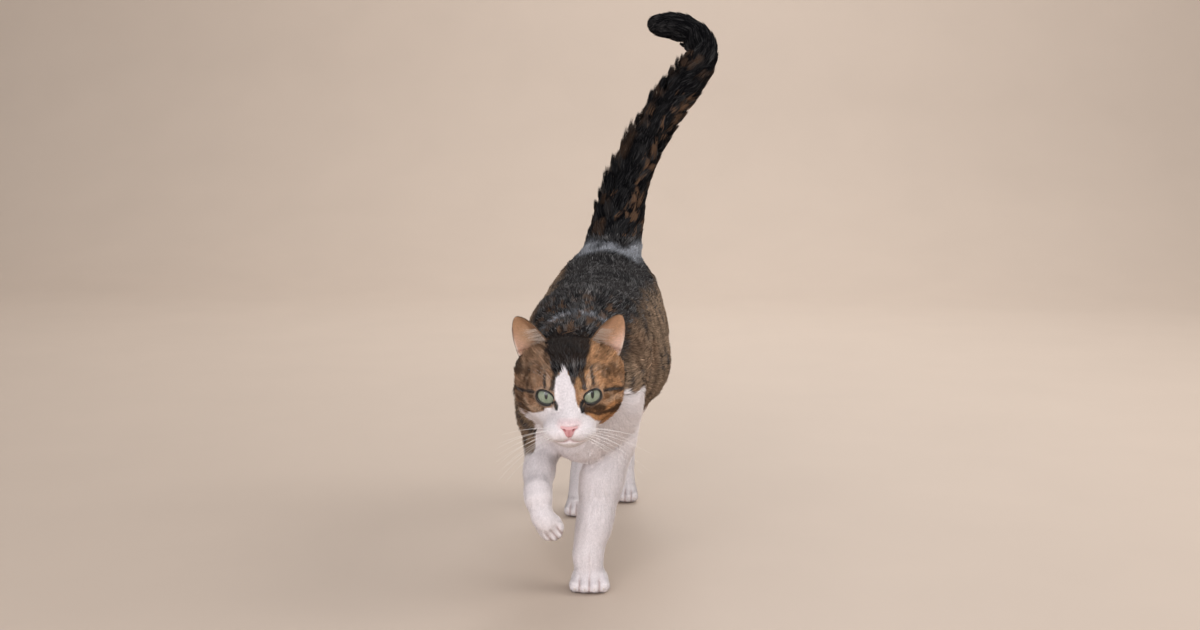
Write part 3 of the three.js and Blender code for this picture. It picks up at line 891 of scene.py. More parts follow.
HEAD_STROKES = [  # places on the head; those off the middle are for both sides
    [(0, -52, -5), (0, -40, 10), (0, -28, 28), (0, -5, 40), (0, 25, 36)],
    [(5, -46, 0), (8, -36, 14), (14, -26, 26), (22, -5, 34), (26, 20, 30)],
    [(8, -50, -14), (18, -40, -12), (28, -26, -8), (38, -8, -6), (42, 15, -8), (36, 35, -8)],
    [(6, -50, -22), (14, -38, -28), (22, -18, -32), (26, 10, -34), (24, 35, -36)],
    [(0, -48, -26), (0, -38, -34), (0, -15, -38), (0, 15, -42), (0, 40, -48)],
    [(26, -32, 8), (34, -20, 8), (40, 0, 8), (40, 20, 6)],
    [(16, -20, 27), (24, -7, 32), (30, 6, 38)],
]
BODY_STROKES = [  # places on the body; those off the middle are for both sides
    [(0, -160, 232), (0, -100, 246), (0, 0, 244), (0, 100, 258), (0, 145, 268)],
    [(40, -165, 200), (45, -100, 225), (55, 0, 210), (45, 100, 220), (25, 150, 235)],
    [(45, -170, 175), (50, -110, 185), (62, 0, 172), (56, 70, 165), (48, 125, 150)],
    [(40, -120, 130), (50, -40, 135), (52, 40, 130), (40, 100, 135)],
    [(0, -90, 112), (0, 0, 112), (0, 80, 118)],
    [(0, -195, 150), (0, -165, 130), (0, -150, 110), (0, -120, 100)],
    [(45, -150, 215), (52, -130, 180), (48, -115, 150)],
    [(40, 100, 235), (50, 115, 190), (46, 105, 150)],
]
LIMB_STROKES = [  # the middles of the legs and of the tail
    [(24, -106, 122), (14, -116, 86), (10, -130, 54), (5, -137, 33), (6, -140, 18), (7, -162, 2)],
    [(-35, -112, 124), (-34.5, -146, 100), (-32, -172, 87), (-29, -177, 77), (-17, -177, 52)],
    [(32, 104, 138), (18, 144, 103), (7, 190, 71), (8, 182, 40), (11, 164, 15), (12, 138, 2)],
    [(-37, 80, 136), (-36, 116, 100), (-32, 150, 62), (-31, 126, 32), (-31, 106, 15), (-31, 78, 2)],
    [(-2, 142, 246), (1, 151, 272), (6, 155, 292), (11, 158, 318), (32, 162, 368), (58, 163, 408)],
    [(58, 163, 408), (79, 163, 435), (88, 163, 456), (82, 164, 473), (62, 165, 482), (42, 166, 484),
     (20, 166, 485)],
]


def stroke_samples(strokes, seat):
    """Places along the strokes, every few millimetres, and the way each stroke runs there."""
    places, ways = [], []
    for stroke in strokes:
        line = seat(stroke)
        for start, end in zip(line[:-1], line[1:]):
            steps = max(1, round(np.linalg.norm(end - start) / 0.006))
            share = (np.arange(steps) + 0.5) / steps
            places.append(start + share[:, None] * (end - start))
            ways.append(np.tile(unit(end - start), (steps, 1)))
    return np.concatenate(places), np.concatenate(ways)


def both_sides(strokes):
    return strokes + [[(-x, y, z) for x, y, z in s] for s in strokes if s[1][0] > 0]


STROKE_REACH = 0.008
samples = [stroke_samples(both_sides(HEAD_STROKES), on_head)]
samples += [stroke_samples(both_sides(BODY_STROKES), on_body), stroke_samples(LIMB_STROKES, on_body)]
stroke_places, stroke_ways = (np.concatenate(kind) for kind in zip(*samples))
lie = np.zeros_like(points)
for start in range(0, len(points), 8000):
    rows = slice(start, start + 8000)
    apart = ((points[rows, None, :] - stroke_places[None]) ** 2).sum(2)
    lie[rows] = (1 / (apart + STROKE_REACH**2) ** 2) @ stroke_ways
lie = along_skin(lie, normals)
for side in (LEFT, RIGHT):  # the short hair round an eye lies away from it
    outwards = along_skin(points - eye_seat(side)[0], normals)
    share = 0.9 * ramp(6.0 - outside_lids(points, side), 0, 4.5)[:, None]
    lie = unit(lie * (1 - share) + outwards * share)
across = np.cross(normals, lie)
swirl = 0.9 * (mottle(body, 22, 21) - 0.5)[:, None]
lie = unit(lie * np.cos(swirl) + across * np.sin(swirl))
# How far some tufts stand off the coat: most along the right of the tail, and where the ears grow.
in_zone = {name: (zone == index).astype(float) for index, name in enumerate(ZONES)}
rightward = ramp(-normals[:, 0] + 0.4 * normals[:, 2], 0.1, 0.8)
STAND = {
    "crown": 2.0, "cheek": 2.0, "ear_base": 6.2, "neck": 2.4, "chest": 2.2, "back": 1.8, "flank": 1.8,
    "belly": 2.4, "shoulder": 1.2, "leg": 0.8, "tail": 0.8 + 7.5 * rightward, "tail_tip": 2.0,
}
stand = net.evened(sum(in_zone[name] * height for name, height in STAND.items()), 4)



# ---- Coat ----
# Short, thick hair in tufts half a millimetre to a millimetre wide. Each tuft is a thin solid that tapers to
# a point. It is rooted in the skin, lies over the roots of the next, and takes the skin's colour.

PATCH = 0.0015  # half of a tuft's patch on its map
SHARE_OF_TUFTS = 1.0

hair_finish = Finish("hair", Roughness=0.7, Specular_IOR_Level=0.02)
strand = hair_finish.noise(700, 2)
hair_tone = hair_finish.attribute("Coat")
scaling = {"Vector": hair_tone, "Scale": strand * 0.5 + 0.75}
shaded = hair_finish.node("ShaderNodeVectorMath", {"operation": "SCALE"}, scaling)
hair_finish.feed(Base_Color=shaded)


def unwrapped(name, points, triangles):
    """An unwrap of a stretch of skin, in its own shape: the place of each corner of each triangle."""
    used, own = np.unique(triangles, return_inverse=True)
    piece = placed(name, mesh_of(name, points[used], own.reshape(-1, 3)), hair_finish)
    bpy.ops.object.select_all(action="DESELECT")
    bpy.context.view_layer.objects.active = piece
    piece.select_set(True)
    bpy.ops.object.mode_set(mode="EDIT")
    bpy.ops.mesh.select_all(action="SELECT")
    bpy.ops.uv.smart_project(angle_limit=math.radians(66), island_margin=0.004)
    bpy.ops.object.mode_set(mode="OBJECT")
    corners = np.empty(len(triangles) * 6, np.float32)
    piece.data.uv_layers.active.data.foreach_get("uv", corners)
    bpy.data.objects.remove(piece)
    return corners.reshape(-1, 3, 2)


# The corners of a tuft. A spindle has its root, then three to its left, right and top, and its tip. A sliver,
# for the shortest hair, has the three at its root.
SPINDLE = [(1, 3, 4), (3, 2, 4), (2, 1, 4), (1, 2, 0), (2, 3, 0), (3, 1, 0)]
SPINDLE_MAP = [(0, -1), (-1, -0.2), (1, -0.2), (0, 0), (0, 1)]
SLIVER = [(0, 2, 3), (2, 1, 3), (1, 0, 3), (0, 1, 2)]
SLIVER_MAP = [(-1, -1), (1, -1), (0, -0.7), (0, 1)]


class Hide:
    """Skin that tufts grow on: its mesh, and what the coat is like at each of its points."""

    def __init__(self, points, triangles, normals, lie, depth, length, width, stand):
        self.points, self.triangles, self.normals, self.lie = points, triangles, normals, lie
        self.depth, self.length, self.width, self.stand = depth, length, width, stand
        self.tree = BVHTree.FromPolygons(points.tolist(), triangles.tolist())


def tufts(name, hide, chosen, count, seed, colours_at, spindles=True, spread=0.2, close=0.3, cluster=12):
    """One piece of coat over the chosen triangles. spread turns tufts off their lie, and close is the share
    of the way that the tips of a cluster lean towards each other."""
    rng = np.random.default_rng(seed)
    count = int(count * SHARE_OF_TUFTS)
    triangles = hide.triangles[chosen]
    a, b, c = (hide.points[triangles[:, i]] for i in range(3))
    fill = 1 / (hide.length * hide.width)[triangles].mean(1)
    area = np.linalg.norm(np.cross(b - a, c - a), axis=1) * fill
    edges = np.cumsum(area) / area.sum()
    face = np.minimum(np.searchsorted(edges, (np.arange(count) + rng.random(count)) / count), len(area) - 1)
    r1, r2 = np.sqrt(rng.random(count)), rng.random(count)
    weights = np.stack([1 - r1, r1 * (1 - r2), r1 * r2], 1)
    corner = triangles[face]

    def at_root(field):
        values = field[corner].reshape(count, 3, -1)
        return (values * weights[:, :, None]).sum(1)

    root, normal, way = at_root(hide.points), unit(at_root(hide.normals)), at_root(hide.lie)
    fields = (hide.depth, hide.length, hide.width, hide.stand)
    depth, length, width, stand = (at_root(f)[:, 0] * MM for f in fields)
    length = length * rng.uniform(0.7, 1.25, count)
    width = width * rng.uniform(0.7, 1.3, count)
    height = depth * rng.uniform(0.35, 1.0, count)
    turn = rng.normal(0, spread, count)[:, None]
    way = along_skin(way, normal)
    way = way * np.cos(turn) + np.cross(normal, way) * np.sin(turn)
    ahead = root + way * length[:, None]
    tip, tip_normal = ahead.copy(), normal.copy()
    for i, place in enumerate(ahead):
        found, found_normal, _, away = hide.tree.find_nearest(Vector(place))
        if away < length[i]:
            tip[i], tip_normal[i] = found, found_normal
    tip_normal = np.where((tip_normal * normal).sum(1)[:, None] > 0.2, tip_normal, normal)
    # Each tuft leans towards the one that leads its neighbours, so that the coat closes in small peaks.
    leaders = rng.choice(count, count // cluster, replace=False)
    finder = KDTree(len(leaders))
    for i, leader in enumerate(leaders):
        finder.insert(Vector(root[leader]), i)
    finder.balance()
    group = leaders[[finder.find(Vector(place))[1] for place in root]]
    tip = tip + close * (tip[group] - tip)
    over_rim = from_lids(tip) < 0.2
    tip = np.where(over_rim[:, None], root + 0.4 * (tip - root), tip)
    middle = root + 0.6 * (tip - root)
    height = height + (stand * (0.3 + 0.7 * rng.random(count) ** 3))[group]
    sag = length * np.linalg.norm(tip_normal - normal, axis=1) / 8
    ring_normal = unit(normal * 0.6 + tip_normal * 0.4)
    ring = root + (tip - root) * 0.4 + ring_normal * (height * 0.65 + sag)[:, None]
    tip = tip + tip_normal * height[:, None]
    root = root - normal * (0.25 * MM)
    side = np.cross(normal, way)
    rounding = 0.5 if spindles else 0.3
    half = (width / 2)[:, None]
    base, up = (ring, ring_normal) if spindles else (root, normal)
    corners = [base + side * half, base - side * half, base + up * half * 0.7, tip]
    shine = [unit(up + rounding * side), unit(up - rounding * side), up, unit(tip_normal + 0.3 * way)]
    # Painted light and shade along each tuft: darkest at its root, darker at its sides than on its top, and
    # lightest at its tip.
    shade_and_tone = [0.84, 0.84, 0.94, 1.08]
    if spindles:
        corners, shine, shade_and_tone = [root, *corners], [normal, *shine], [0.6, *shade_and_tone]
    shape, chart = (SPINDLE, SPINDLE_MAP) if spindles else (SLIVER, SLIVER_MAP)
    step = len(corners)
    vertices = np.stack(corners, 1).reshape(-1, 3)
    faces = (np.array(shape)[None] + step * np.arange(count)[:, None, None]).reshape(-1, 3)
    mesh = mesh_of(name, vertices, faces)

    colours, ticking = colours_at(corner, middle)
    dark = ramp(0.06 - colours.mean(1), 0, 0.03)
    ticks = 0.3 * rng.random(count) ** 5 + 0.2 * (rng.random(count) ** 5)[group]
    colours = blended(colours, TICK, dark * ticking * ticks)
    own = rng.normal(0, 0.26, count) + rng.normal(0, 0.14, count)[group]
    bright = np.exp(own * ticking + rng.normal(0, 0.03, count))
    shade_and_tone = np.array(shade_and_tone)[None] * bright[:, None]
    shade_and_tone[:, -1] *= 1 + 0.5 * ticking * (rng.random(count) < 0.3)
    hues = colours[:, None, :] * (shade_and_tone + (1 - shade_and_tone) * 0.5 * (1 - ticking[:, None]))[:, :, None]
    set_colours(mesh, "Coat", np.clip(hues.reshape(-1, 3), 0, 1))

    chart_corners = unwrapped(name, hide.points, triangles)[face]
    spot = np.clip((chart_corners * weights[:, :, None]).sum(1), 2 * PATCH, 1 - 2 * PATCH)
    charted = (spot[:, None, :] + PATCH * np.array(chart)[None]).reshape(-1, 2)
    layer = mesh.uv_layers.new(name="OFBake")
    layer.data.foreach_set("uv", charted[faces.ravel()].astype(np.float32).ravel())
    mesh.normals_split_custom_set_from_vertices(np.stack(shine, 1).reshape(-1, 3).tolist())
    piece = placed(name, mesh, hair_finish)
    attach(piece, "root")
    return piece


def skin_tones(corner, place):
    return coat_colours(part[corner[:, 0]], place)


hide = Hide(points, triangles, normals, lie, depth, length, width, stand)
skin_tree = hide.tree
names = list(ZONES)
zone_here = zones_of(part, body, head)[triangles[:, 0]]
clear = (from_lids(points) > 0.1) & (from_mouth(head) > 0.75)
grows = (clear & (nose_share < 0.35))[triangles].all(1)


def zoned(*chosen):
    return np.isin(zone_here, [names.index(n) for n in chosen]) & grows


fore = in_part(part, "foreleg", "forepaw")[triangles[:, 0]]
COATS = [  # name, where, tufts, spindles, spread, closing, cluster, slot
    ("coat_face", zoned("face"), 46000, False, 0.14, 0.15, 12, "coat_white"),
    ("coat_head", zoned("crown", "cheek", "ear_base"), 31000, True, 0.24, 0.3, 7, "coat_tabby"),
    ("coat_chest", zoned("chest", "neck"), 28000, True, 0.2, 0.25, 12, "coat_white"),
    ("coat_back", zoned("back"), 30000, True, 0.2, 0.3, 9, "coat_black"),
    ("coat_flanks", zoned("flank", "belly"), 32000, True, 0.18, 0.2, 8, "coat_tabby"),
    ("coat_forelegs", zoned("shoulder", "leg", "paw") & fore, 42000, False, 0.15, 0.2, 12, "coat_white"),
    ("coat_hindlegs", zoned("shoulder", "leg", "paw") & ~fore, 40000, False, 0.15, 0.2, 12, "coat_tabby"),
    ("coat_tail", zoned("tail", "tail_tip"), 26000, True, 0.22, 0.75, 50, "coat_black"),
]
for seed, (name, where, count, spindles, spread, close, cluster, slot) in enumerate(COATS):
    piece = tufts(name, hide, where, count, 100 + seed, skin_tones, spindles, spread, close, cluster)

# ---- Eyes ----
# Moist balls with a bulging clear front, set in the sockets and turned to the gaze. The iris is a grey-green
# ring of fine fibres, and the pupil an upright slit in daylight.

IRIS = tone(140, 150, 130)
IRIS_INNER = tone(112, 130, 104)
IRIS_RIM_AND_LID_SHADE = tone(40, 46, 38)
PUPIL = tone(7, 8, 7)
EYE_SWING = 2.5

eye_finish = Finish("eye", Roughness=0.28, Coat_Weight=1.0, Coat_Roughness=0.02, Coat_IOR=1.38)
eye_finish.surface.inputs["Specular IOR Level"].default_value = 0.5
spot = eye_finish.node("ShaderNodeTexCoord", output="Object")
aside = eye_finish.node("ShaderNodeSeparateXYZ", inputs={0: spot}, output="X") * 1000
above = eye_finish.node("ShaderNodeSeparateXYZ", inputs={0: spot}, output="Z") * 1000
around = eye_finish.node("ShaderNodeMath", {"operation": "ARCTAN2"}, {0: above, 1: aside})
outwards = (aside * aside + above * above) ** 0.5
ray_place = eye_finish.node("ShaderNodeCombineXYZ", inputs={0: around * 9, 1: outwards * 0.5, 2: 0.0})
rays = eye_finish.noise(1.6, 4, ray_place)
crypts = eye_finish.noise(420, 2)
slit = ((aside / 1.3) ** 2 + ((above - 1.2) / 3.7) ** 2) ** 0.5


def eye_ramp(value, low, high):
    """0 below low and 1 above high, in an eye's own nodes."""
    inputs = {"Value": value, "From Min": low, "From Max": high}
    return eye_finish.node("ShaderNodeMapRange", {"interpolation_type": "SMOOTHSTEP"}, inputs)


fibres = eye_finish.mixed(eye_ramp(rays, 0.35, 0.7), paint(IRIS * 0.8), paint(IRIS * 1.16))
fibres = eye_finish.mixed(eye_ramp(slit, 1.1, 1.9) * -0.6 + 0.6, fibres, paint(IRIS_INNER))
fibres = eye_finish.mixed(eye_ramp(crypts, 0.55, 0.75) * 0.25, fibres, paint(IRIS_INNER * 0.8))
# Painted shade from the upper lid darkens the top of the iris.
lid_shaded_iris = eye_finish.mixed(eye_ramp(above, 0.5, 4.5) * 0.55, fibres, paint(IRIS_RIM_AND_LID_SHADE))
iris = eye_finish.mixed(eye_ramp(outwards, 5.6, 7.4), lid_shaded_iris, paint(IRIS_RIM_AND_LID_SHADE))
iris = eye_finish.mixed(eye_ramp(slit, 0.88, 1.08), paint(PUPIL), iris)
eye_finish.feed(Base_Color=iris)

EYE_ROWS, EYE_COLUMNS = 64, 96
for side, node in ((LEFT, "eye_left"), (RIGHT, "eye_right")):
    centre, gaze = eye_seat(side)
    polar = np.linspace(0.0, math.radians(104), EYE_ROWS)[:, None]
    turn = np.linspace(0, 2 * math.pi, EYE_COLUMNS, endpoint=False)[None]
    reach = ball_reach(polar)
    wide, ahead = reach * np.sin(polar), reach * np.cos(polar)
    ball = np.stack([wide * np.cos(turn), -ahead + 0 * turn, wide * np.sin(turn)], -1) * MM
    mesh = mesh_of(node, ball.reshape(-1, 3), sheet_faces(EYE_ROWS, EYE_COLUMNS, closed=True))
    eyeball = placed("ball_" + node, mesh, eye_finish)
    swung = Matrix((gaze @ turned(0, 0, EYE_SWING)).tolist())
    eyeball.matrix_world = Matrix.Translation(Vector(centre)) @ swung.to_4x4()
    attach(eyeball, "root")
    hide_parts(node)

# ---- Eyelids ----
# Bare black rims, moist along the edge. They close on the ball all round, and run down beside the nose at the
# inner corner.

lid_finish = Finish("eyelid", Roughness=0.32, Coat_Weight=0.25, Coat_Roughness=0.12)
creases = lid_finish.noise(1500, 3)
lid_finish.feed(Base_Color=lid_finish.mixed(creases, paint(tone(8, 7, 7)), paint(tone(24, 19, 19))))
lid_finish.bump(creases, 0.00025)

LID_ROWS = [  # share of the way in to the opening, and the rise over the eye's surface
    (-0.14, 0.2), (0.0, 1.0), (0.22, 1.3), (0.45, 1.35), (0.66, 1.2),
    (0.82, 0.95), (0.94, 0.6), (1.0, 0.1), (1.03, -1.2),
]
LID_COLUMNS = 128
turn = np.linspace(0, 2 * math.pi, LID_COLUMNS, endpoint=False)


def opening(half, top, bottom, corner, duct):
    """A loop round the eye. duct is how far it runs down beside the nose at the inner corner."""
    wave, rise = np.cos(turn), np.sin(turn)
    across = half * np.sign(wave) * np.abs(wave) ** 0.91
    up = np.where(rise > 0, top, bottom) * np.sign(rise) * np.abs(rise) ** 0.91
    inner = duct * ramp(-wave, 0.7, 1.0)
    return across - 0.75 * inner + 0.2, up + corner - inner


for side, name in ((LEFT, "eyelids_left"), (RIGHT, "eyelids_right")):
    outer = opening(LENS_HALF + 0.1, LENS_TOP + 0.2, LENS_BOTTOM + 0.2, LENS_CORNER, 3.9)
    inner = opening(6.4, 4.3, 4.6, LENS_CORNER + 0.05, 0.2)
    rows = []
    for share, rise in LID_ROWS:
        across, up = ((1 - share) * out + share * into for out, into in zip(outer, inner))
        rows.append(over_eye(across, up, rise, side))
    faces = sheet_faces(len(LID_ROWS), LID_COLUMNS, closed=True)
    mesh = mesh_of(name, np.concatenate(rows), faces if side > 0 else faces[:, ::-1])
    lids = placed(name, mesh, lid_finish)
    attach(lids, "root")

# ---- Nose ----
# Moist pink leather with fine pebbles, set in the end of the muzzle. A shallow groove runs down its middle,
# and two nostrils curl out and back.

nose_mesh = remeshed("fine_nose", grown(["nose"], 0.0002), 0.00036)
nose_points, _ = mesh_arrays(nose_mesh)
nose_net = Net(nose_mesh)
nose_points = nose_net.smoothed(nose_points, 14, 0.9)
place = head_places(nose_points)
flat = np.stack([np.abs(place[:, 0]), place[:, 2]], 1)
hole = from_line(flat, [(2.9, -13.4), (3.9, -12.4), (5.6, -12.9)])
groove = np.exp(-((place[:, 0] / 0.55) ** 2)) * ramp(-place[:, 2], 12, 14)
ahead = ramp(-place[:, 1], 47, 50)
sunk = 1.0 * np.exp(-((hole / 0.7) ** 2)) * ahead + 0.45 * groove * ahead
place[:, 1] += sunk + 3.0 * ramp(place[:, 2], -11.8, -10.2)
nose_points = on_head(place)
nose_mesh.vertices.foreach_set("co", nose_points.astype(np.float32).ravel())
nose_mesh.polygons.foreach_set("use_smooth", np.ones(len(nose_mesh.polygons), bool))
nose_mesh.update()
patchy = mottle(place, 2.2, 31)
pink = tone(216, 160, 163) + 0 * place
pink = blended(pink, tone(202, 142, 146), 0.6 * ramp(3 - flat[:, 0], 0, 3) + 0.3 * patchy)
pale = np.maximum(0.6 * ramp(place[:, 2], -12.5, -10.8), ramp(flat[:, 0] + 0.5 * place[:, 2], -0.8, 1.2))
pink = blended(pink, tone(238, 208, 206), 0.85 * pale)
pink = blended(pink, tone(172, 106, 110), ramp(1.0 - hole, 0, 0.7) * ahead)
pink = blended(pink, tone(186, 118, 122), 0.6 * groove * ahead)
set_colours(nose_mesh, "Tone", pink)

nose_finish = Finish("nose_leather", Roughness=0.42, Coat_Weight=0.2, Coat_Roughness=0.25)
pebble = nose_finish.node(
    "ShaderNodeTexVoronoi",
    {"feature": "SMOOTH_F1"},
    {"Vector": nose_finish.node("ShaderNodeTexCoord", output="Object"), "Scale": 1700, "Smoothness": 0.6},
)
leather = nose_finish.attribute("Tone")
nose_finish.feed(Base_Color=nose_finish.mixed(pebble * 0.3, leather, paint(tone(184, 124, 126))))
nose_finish.bump(pebble * -1, 0.0003, 0.8)
nose = placed("nose_leather", nose_mesh, nose_finish)
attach(nose, "root")
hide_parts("nose")

# ---- Ears ----
# Thin upright cups of gristle and skin, furred behind and nearly bare inside, with a folded pocket low on the
# outer edge. They grow out of the head at its upper corners and open forwards and outwards.

EAR_ROWS, EAR_COLUMNS = 84, 56
EAR_BACK = tone(124, 102, 84)
EAR_EDGE = tone(72, 58, 50)
# The left ear's inside is painted lighter, as light shining through it, and the right ear's darker, as
# painted shade.
EAR_INSIDE_LIT_AND_SHADED = {LEFT: tone(206, 162, 132), RIGHT: tone(184, 146, 116)}
EAR_PINK_LIT_AND_SHADED = {LEFT: tone(230, 190, 170), RIGHT: tone(204, 162, 138)}
EAR_PALE = tone(240, 220, 206)
EAR_FOLD_SHADE = tone(160, 104, 84)


def ear_places(side, share, across, inwards):
    """Places on an ear: a share of its length up, across from its inner edge to its outer one as -1 to 1, and
    the share of its thickness in from its back."""
    curl, radius = ear_curve(np.clip(share, 0, 1))
    thickness = np.minimum(EAR_THICKNESS * (1 - np.abs(across) ** 3 * 0.55), radius * 0.45)
    out = radius - inwards * thickness
    x = out * np.sin(across * curl) * side
    y = out * np.cos(across * curl) - radius * np.cos(curl)
    local = np.stack([x, y, share * EAR_LENGTH + 0 * across], -1)
    base, seat = ear_seat(side)
    return on_head(local @ seat.T + base)


for side, node in ((LEFT, "ear_left"), (RIGHT, "ear_right")):
    rising = np.sin(np.linspace(0, math.pi / 2, EAR_ROWS - 2)) * 0.992
    share = np.concatenate([[-0.24, -0.12], rising])[:, None]
    half = np.linspace(-1, 1, EAR_COLUMNS)
    across = np.concatenate([half, half[::-1]])[None]
    inside = np.concatenate([np.zeros(EAR_COLUMNS), np.ones(EAR_COLUMNS)])[None]
    # The inside has a few soft ridges, and the pocket at its outer edge.
    ridges = 0.10 * np.sin(across * 9 + 3 * share) * (1 - share)
    pocket = np.exp(-(((share - 0.36 - 0.12 * (across - 0.5)) / 0.035) ** 2)) * ramp(across, 0.1, 0.5)
    flap = np.exp(-(((share - 0.28) / 0.05) ** 2)) * ramp(across, 0.35, 0.8)
    inwards = np.where(inside > 0, 0.74 + ridges - 0.5 * pocket + 0.4 * flap, 0.18)
    shell = ear_places(side, share, across + 0 * share, inwards)
    faces = sheet_faces(EAR_ROWS, 2 * EAR_COLUMNS, closed=True)
    last = (EAR_ROWS - 1) * 2 * EAR_COLUMNS
    step = np.arange(EAR_COLUMNS - 1)
    facing = last + 2 * EAR_COLUMNS - 1 - step
    tip = np.stack([last + step, last + step + 1, facing - 1, facing], 1)
    faces = np.concatenate([faces, tip])
    mesh = mesh_of(node, shell.reshape(-1, 3), faces if side < 0 else faces[:, ::-1])
    ear_points, ear_triangles = mesh_arrays(mesh)

    share_all = (share + 0 * across).ravel()
    across_all = (across + 0 * share).ravel()
    within = (inside + 0 * share).ravel() > 0
    patch = mottle(head_places(ear_points), 6, 41) - 0.5
    rim = np.abs(across_all) + 0.3 * share_all + 0.3 * patch
    back = blended(EAR_BACK + 0 * ear_points, EAR_EDGE, ramp(rim, 0.75, 1.15))
    back = blended(back, DARK, 0.6 * ramp(0.28 - share_all + 0.1 * patch, 0, 0.2))
    bare = across_all - 1.2 * share_all + 0.3 * patch
    front = blended(EAR_INSIDE_LIT_AND_SHADED[side] + 0 * ear_points, EAR_PINK_LIT_AND_SHADED[side], ramp(bare, -0.5, 0.3))
    front = blended(front, BROWN * 0.8, 0.85 * ramp(-across_all - 0.15 * side + 0.5 * patch, 0.15, 0.85))
    front = blended(front, TAN, 0.6 * ramp(share_all + 0.3 * patch, 0.55, 0.9))
    edge = ramp(np.abs(across_all), 0.84, 0.97)
    outer = ramp(across_all, -0.2, 0.2) * ramp(0.75 - share_all, 0, 0.3)
    front = blended(front, EAR_PALE, 0.8 * edge * outer)
    front = blended(front, EAR_EDGE, 0.6 * edge * ramp(share_all, 0.55, 0.8))
    # Painted shade in the fold of the pocket.
    front = blended(front, EAR_FOLD_SHADE, 0.4 * (pocket + 0 * across).ravel())
    root_tone = blended(BROWN if side < 0 else TAN, DARK, 0.5 * ramp(patch, -0.1, 0.3))
    front = blended(front, root_tone, 0.9 * ramp(0.47 - share_all + 0.35 * patch - 0.1 * across_all, 0, 0.26))
    tones = np.where(within[:, None], front, back)
    set_colours(mesh, "Coat", tones)
    ear = placed("skin_" + node, mesh, skin_finish)
    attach(ear, "root")
    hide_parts(node)

    # Short hair behind, and a thin down inside, both lying up and outwards.
    ear_normals = point_normals(ear_points, ear_triangles)
    grid = shell.reshape(EAR_ROWS, 2 * EAR_COLUMNS, 3)
    rising = unit(np.gradient(grid, axis=0)).reshape(-1, 3)
    sideways = unit(np.gradient(grid[:, :EAR_COLUMNS], axis=1))
    sideways = np.concatenate([sideways, sideways[:, ::-1]], 1).reshape(-1, 3)
    ear_lie = unit(rising + 0.9 * (across_all + np.where(within, 0.5, 0))[:, None] * sideways)
    count = len(ear_points)
    long = np.where(within, 3.2 - 1.2 * share_all, 4.2 - 1.6 * share_all)
    deep, wide = np.where(within, 0.5, 0.7), np.full(count, 0.42)
    ear_hide = Hide(ear_points, ear_triangles, ear_normals, ear_lie, deep, long, wide, np.zeros(count))
    shown = (share_all > -0.05)[ear_triangles].all(1)
    tick = np.where(within, 0.35, 0.8)

    def ear_tones(corner, place):
        return tones[corner[:, 0]], tick[corner[:, 0]]

    fluff = tufts("coat_" + node, ear_hide, shown, 10000, 200 + side, ear_tones, False, 0.2, 0.1)


# ---- Long hairs and whiskers ----
# Fine pale hairs cross the opening of each ear from its inner edge. The whiskers are stiff and white: four
# rows on each pad, a few over each eye, and they thin to nothing.

def tubes(name, lines, thickness, finish, sides=4):
    """Tapering hairs along rows of points, as one mesh."""
    count, steps, _ = lines.shape
    ahead = unit(np.gradient(lines, axis=1))
    first = unit(np.cross(ahead, np.array([0.31, 0.42, 0.85])))
    second = np.cross(ahead, first)
    taper = (1 - np.linspace(0, 1, steps)) ** 0.8 + 0.08
    half = (np.asarray(thickness)[:, None] / 2 * taper * MM)[:, :, None]
    turn = 2 * math.pi * np.arange(sides) / sides
    rings = [lines + half * (first * math.cos(a) + second * math.sin(a)) for a in turn]
    points = np.stack(rings, 2).reshape(-1, 3)
    faces = sheet_faces(steps, sides, closed=True)
    faces = (faces[None] + steps * sides * np.arange(count)[:, None, None]).reshape(-1, 4)
    return placed(name, mesh_of(name, points, faces), finish)


def hair_line(start, way, sag, reach, steps=9):
    """A hair that starts one way and bends another."""
    share = np.linspace(0, 1, steps)[:, None]
    return start + (way * share + sag * share**2) * reach


whisker_finish = Finish("whisker", Roughness=0.4, Specular_IOR_Level=0.6)
band = whisker_finish.noise(90, 2)
pale, paler = paint(tone(222, 216, 212)), paint(tone(250, 248, 246))
whisker_finish.feed(Base_Color=whisker_finish.mixed(band, pale, paler))

down_finish = Finish("ear_hair", Roughness=0.5, Specular_IOR_Level=0.3)
band = down_finish.noise(90, 2)
down_finish.feed(Base_Color=down_finish.mixed(band, paint(tone(206, 184, 164)), paint(tone(244, 230, 218))))

rng = np.random.default_rng(61)
for side, name in ((LEFT, "ear_hairs_left"), (RIGHT, "ear_hairs_right")):
    lines, thick = [], []
    for _ in range(230):
        share = rng.uniform(0.04, 0.62)
        low, middle, high = np.array([share, share + rng.uniform(0, 0.1), share + rng.uniform(0.02, 0.24)])
        start = ear_places(side, low, rng.uniform(-1.0, -0.8), 0.6)
        front = ear_places(side, middle, -0.1, rng.uniform(1.6, 3.4))
        goal = ear_places(side, high, rng.uniform(0.2, 0.8), 1.0)
        t = np.linspace(0, rng.uniform(0.5, 0.9), 9)[:, None]
        lines.append((1 - t) ** 2 * start + 2 * t * (1 - t) * front + t**2 * goal)
        thick.append(rng.uniform(0.1, 0.18))
    hairs = tubes(name, np.array(lines), thick, down_finish, 3)
    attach(hairs, "root")

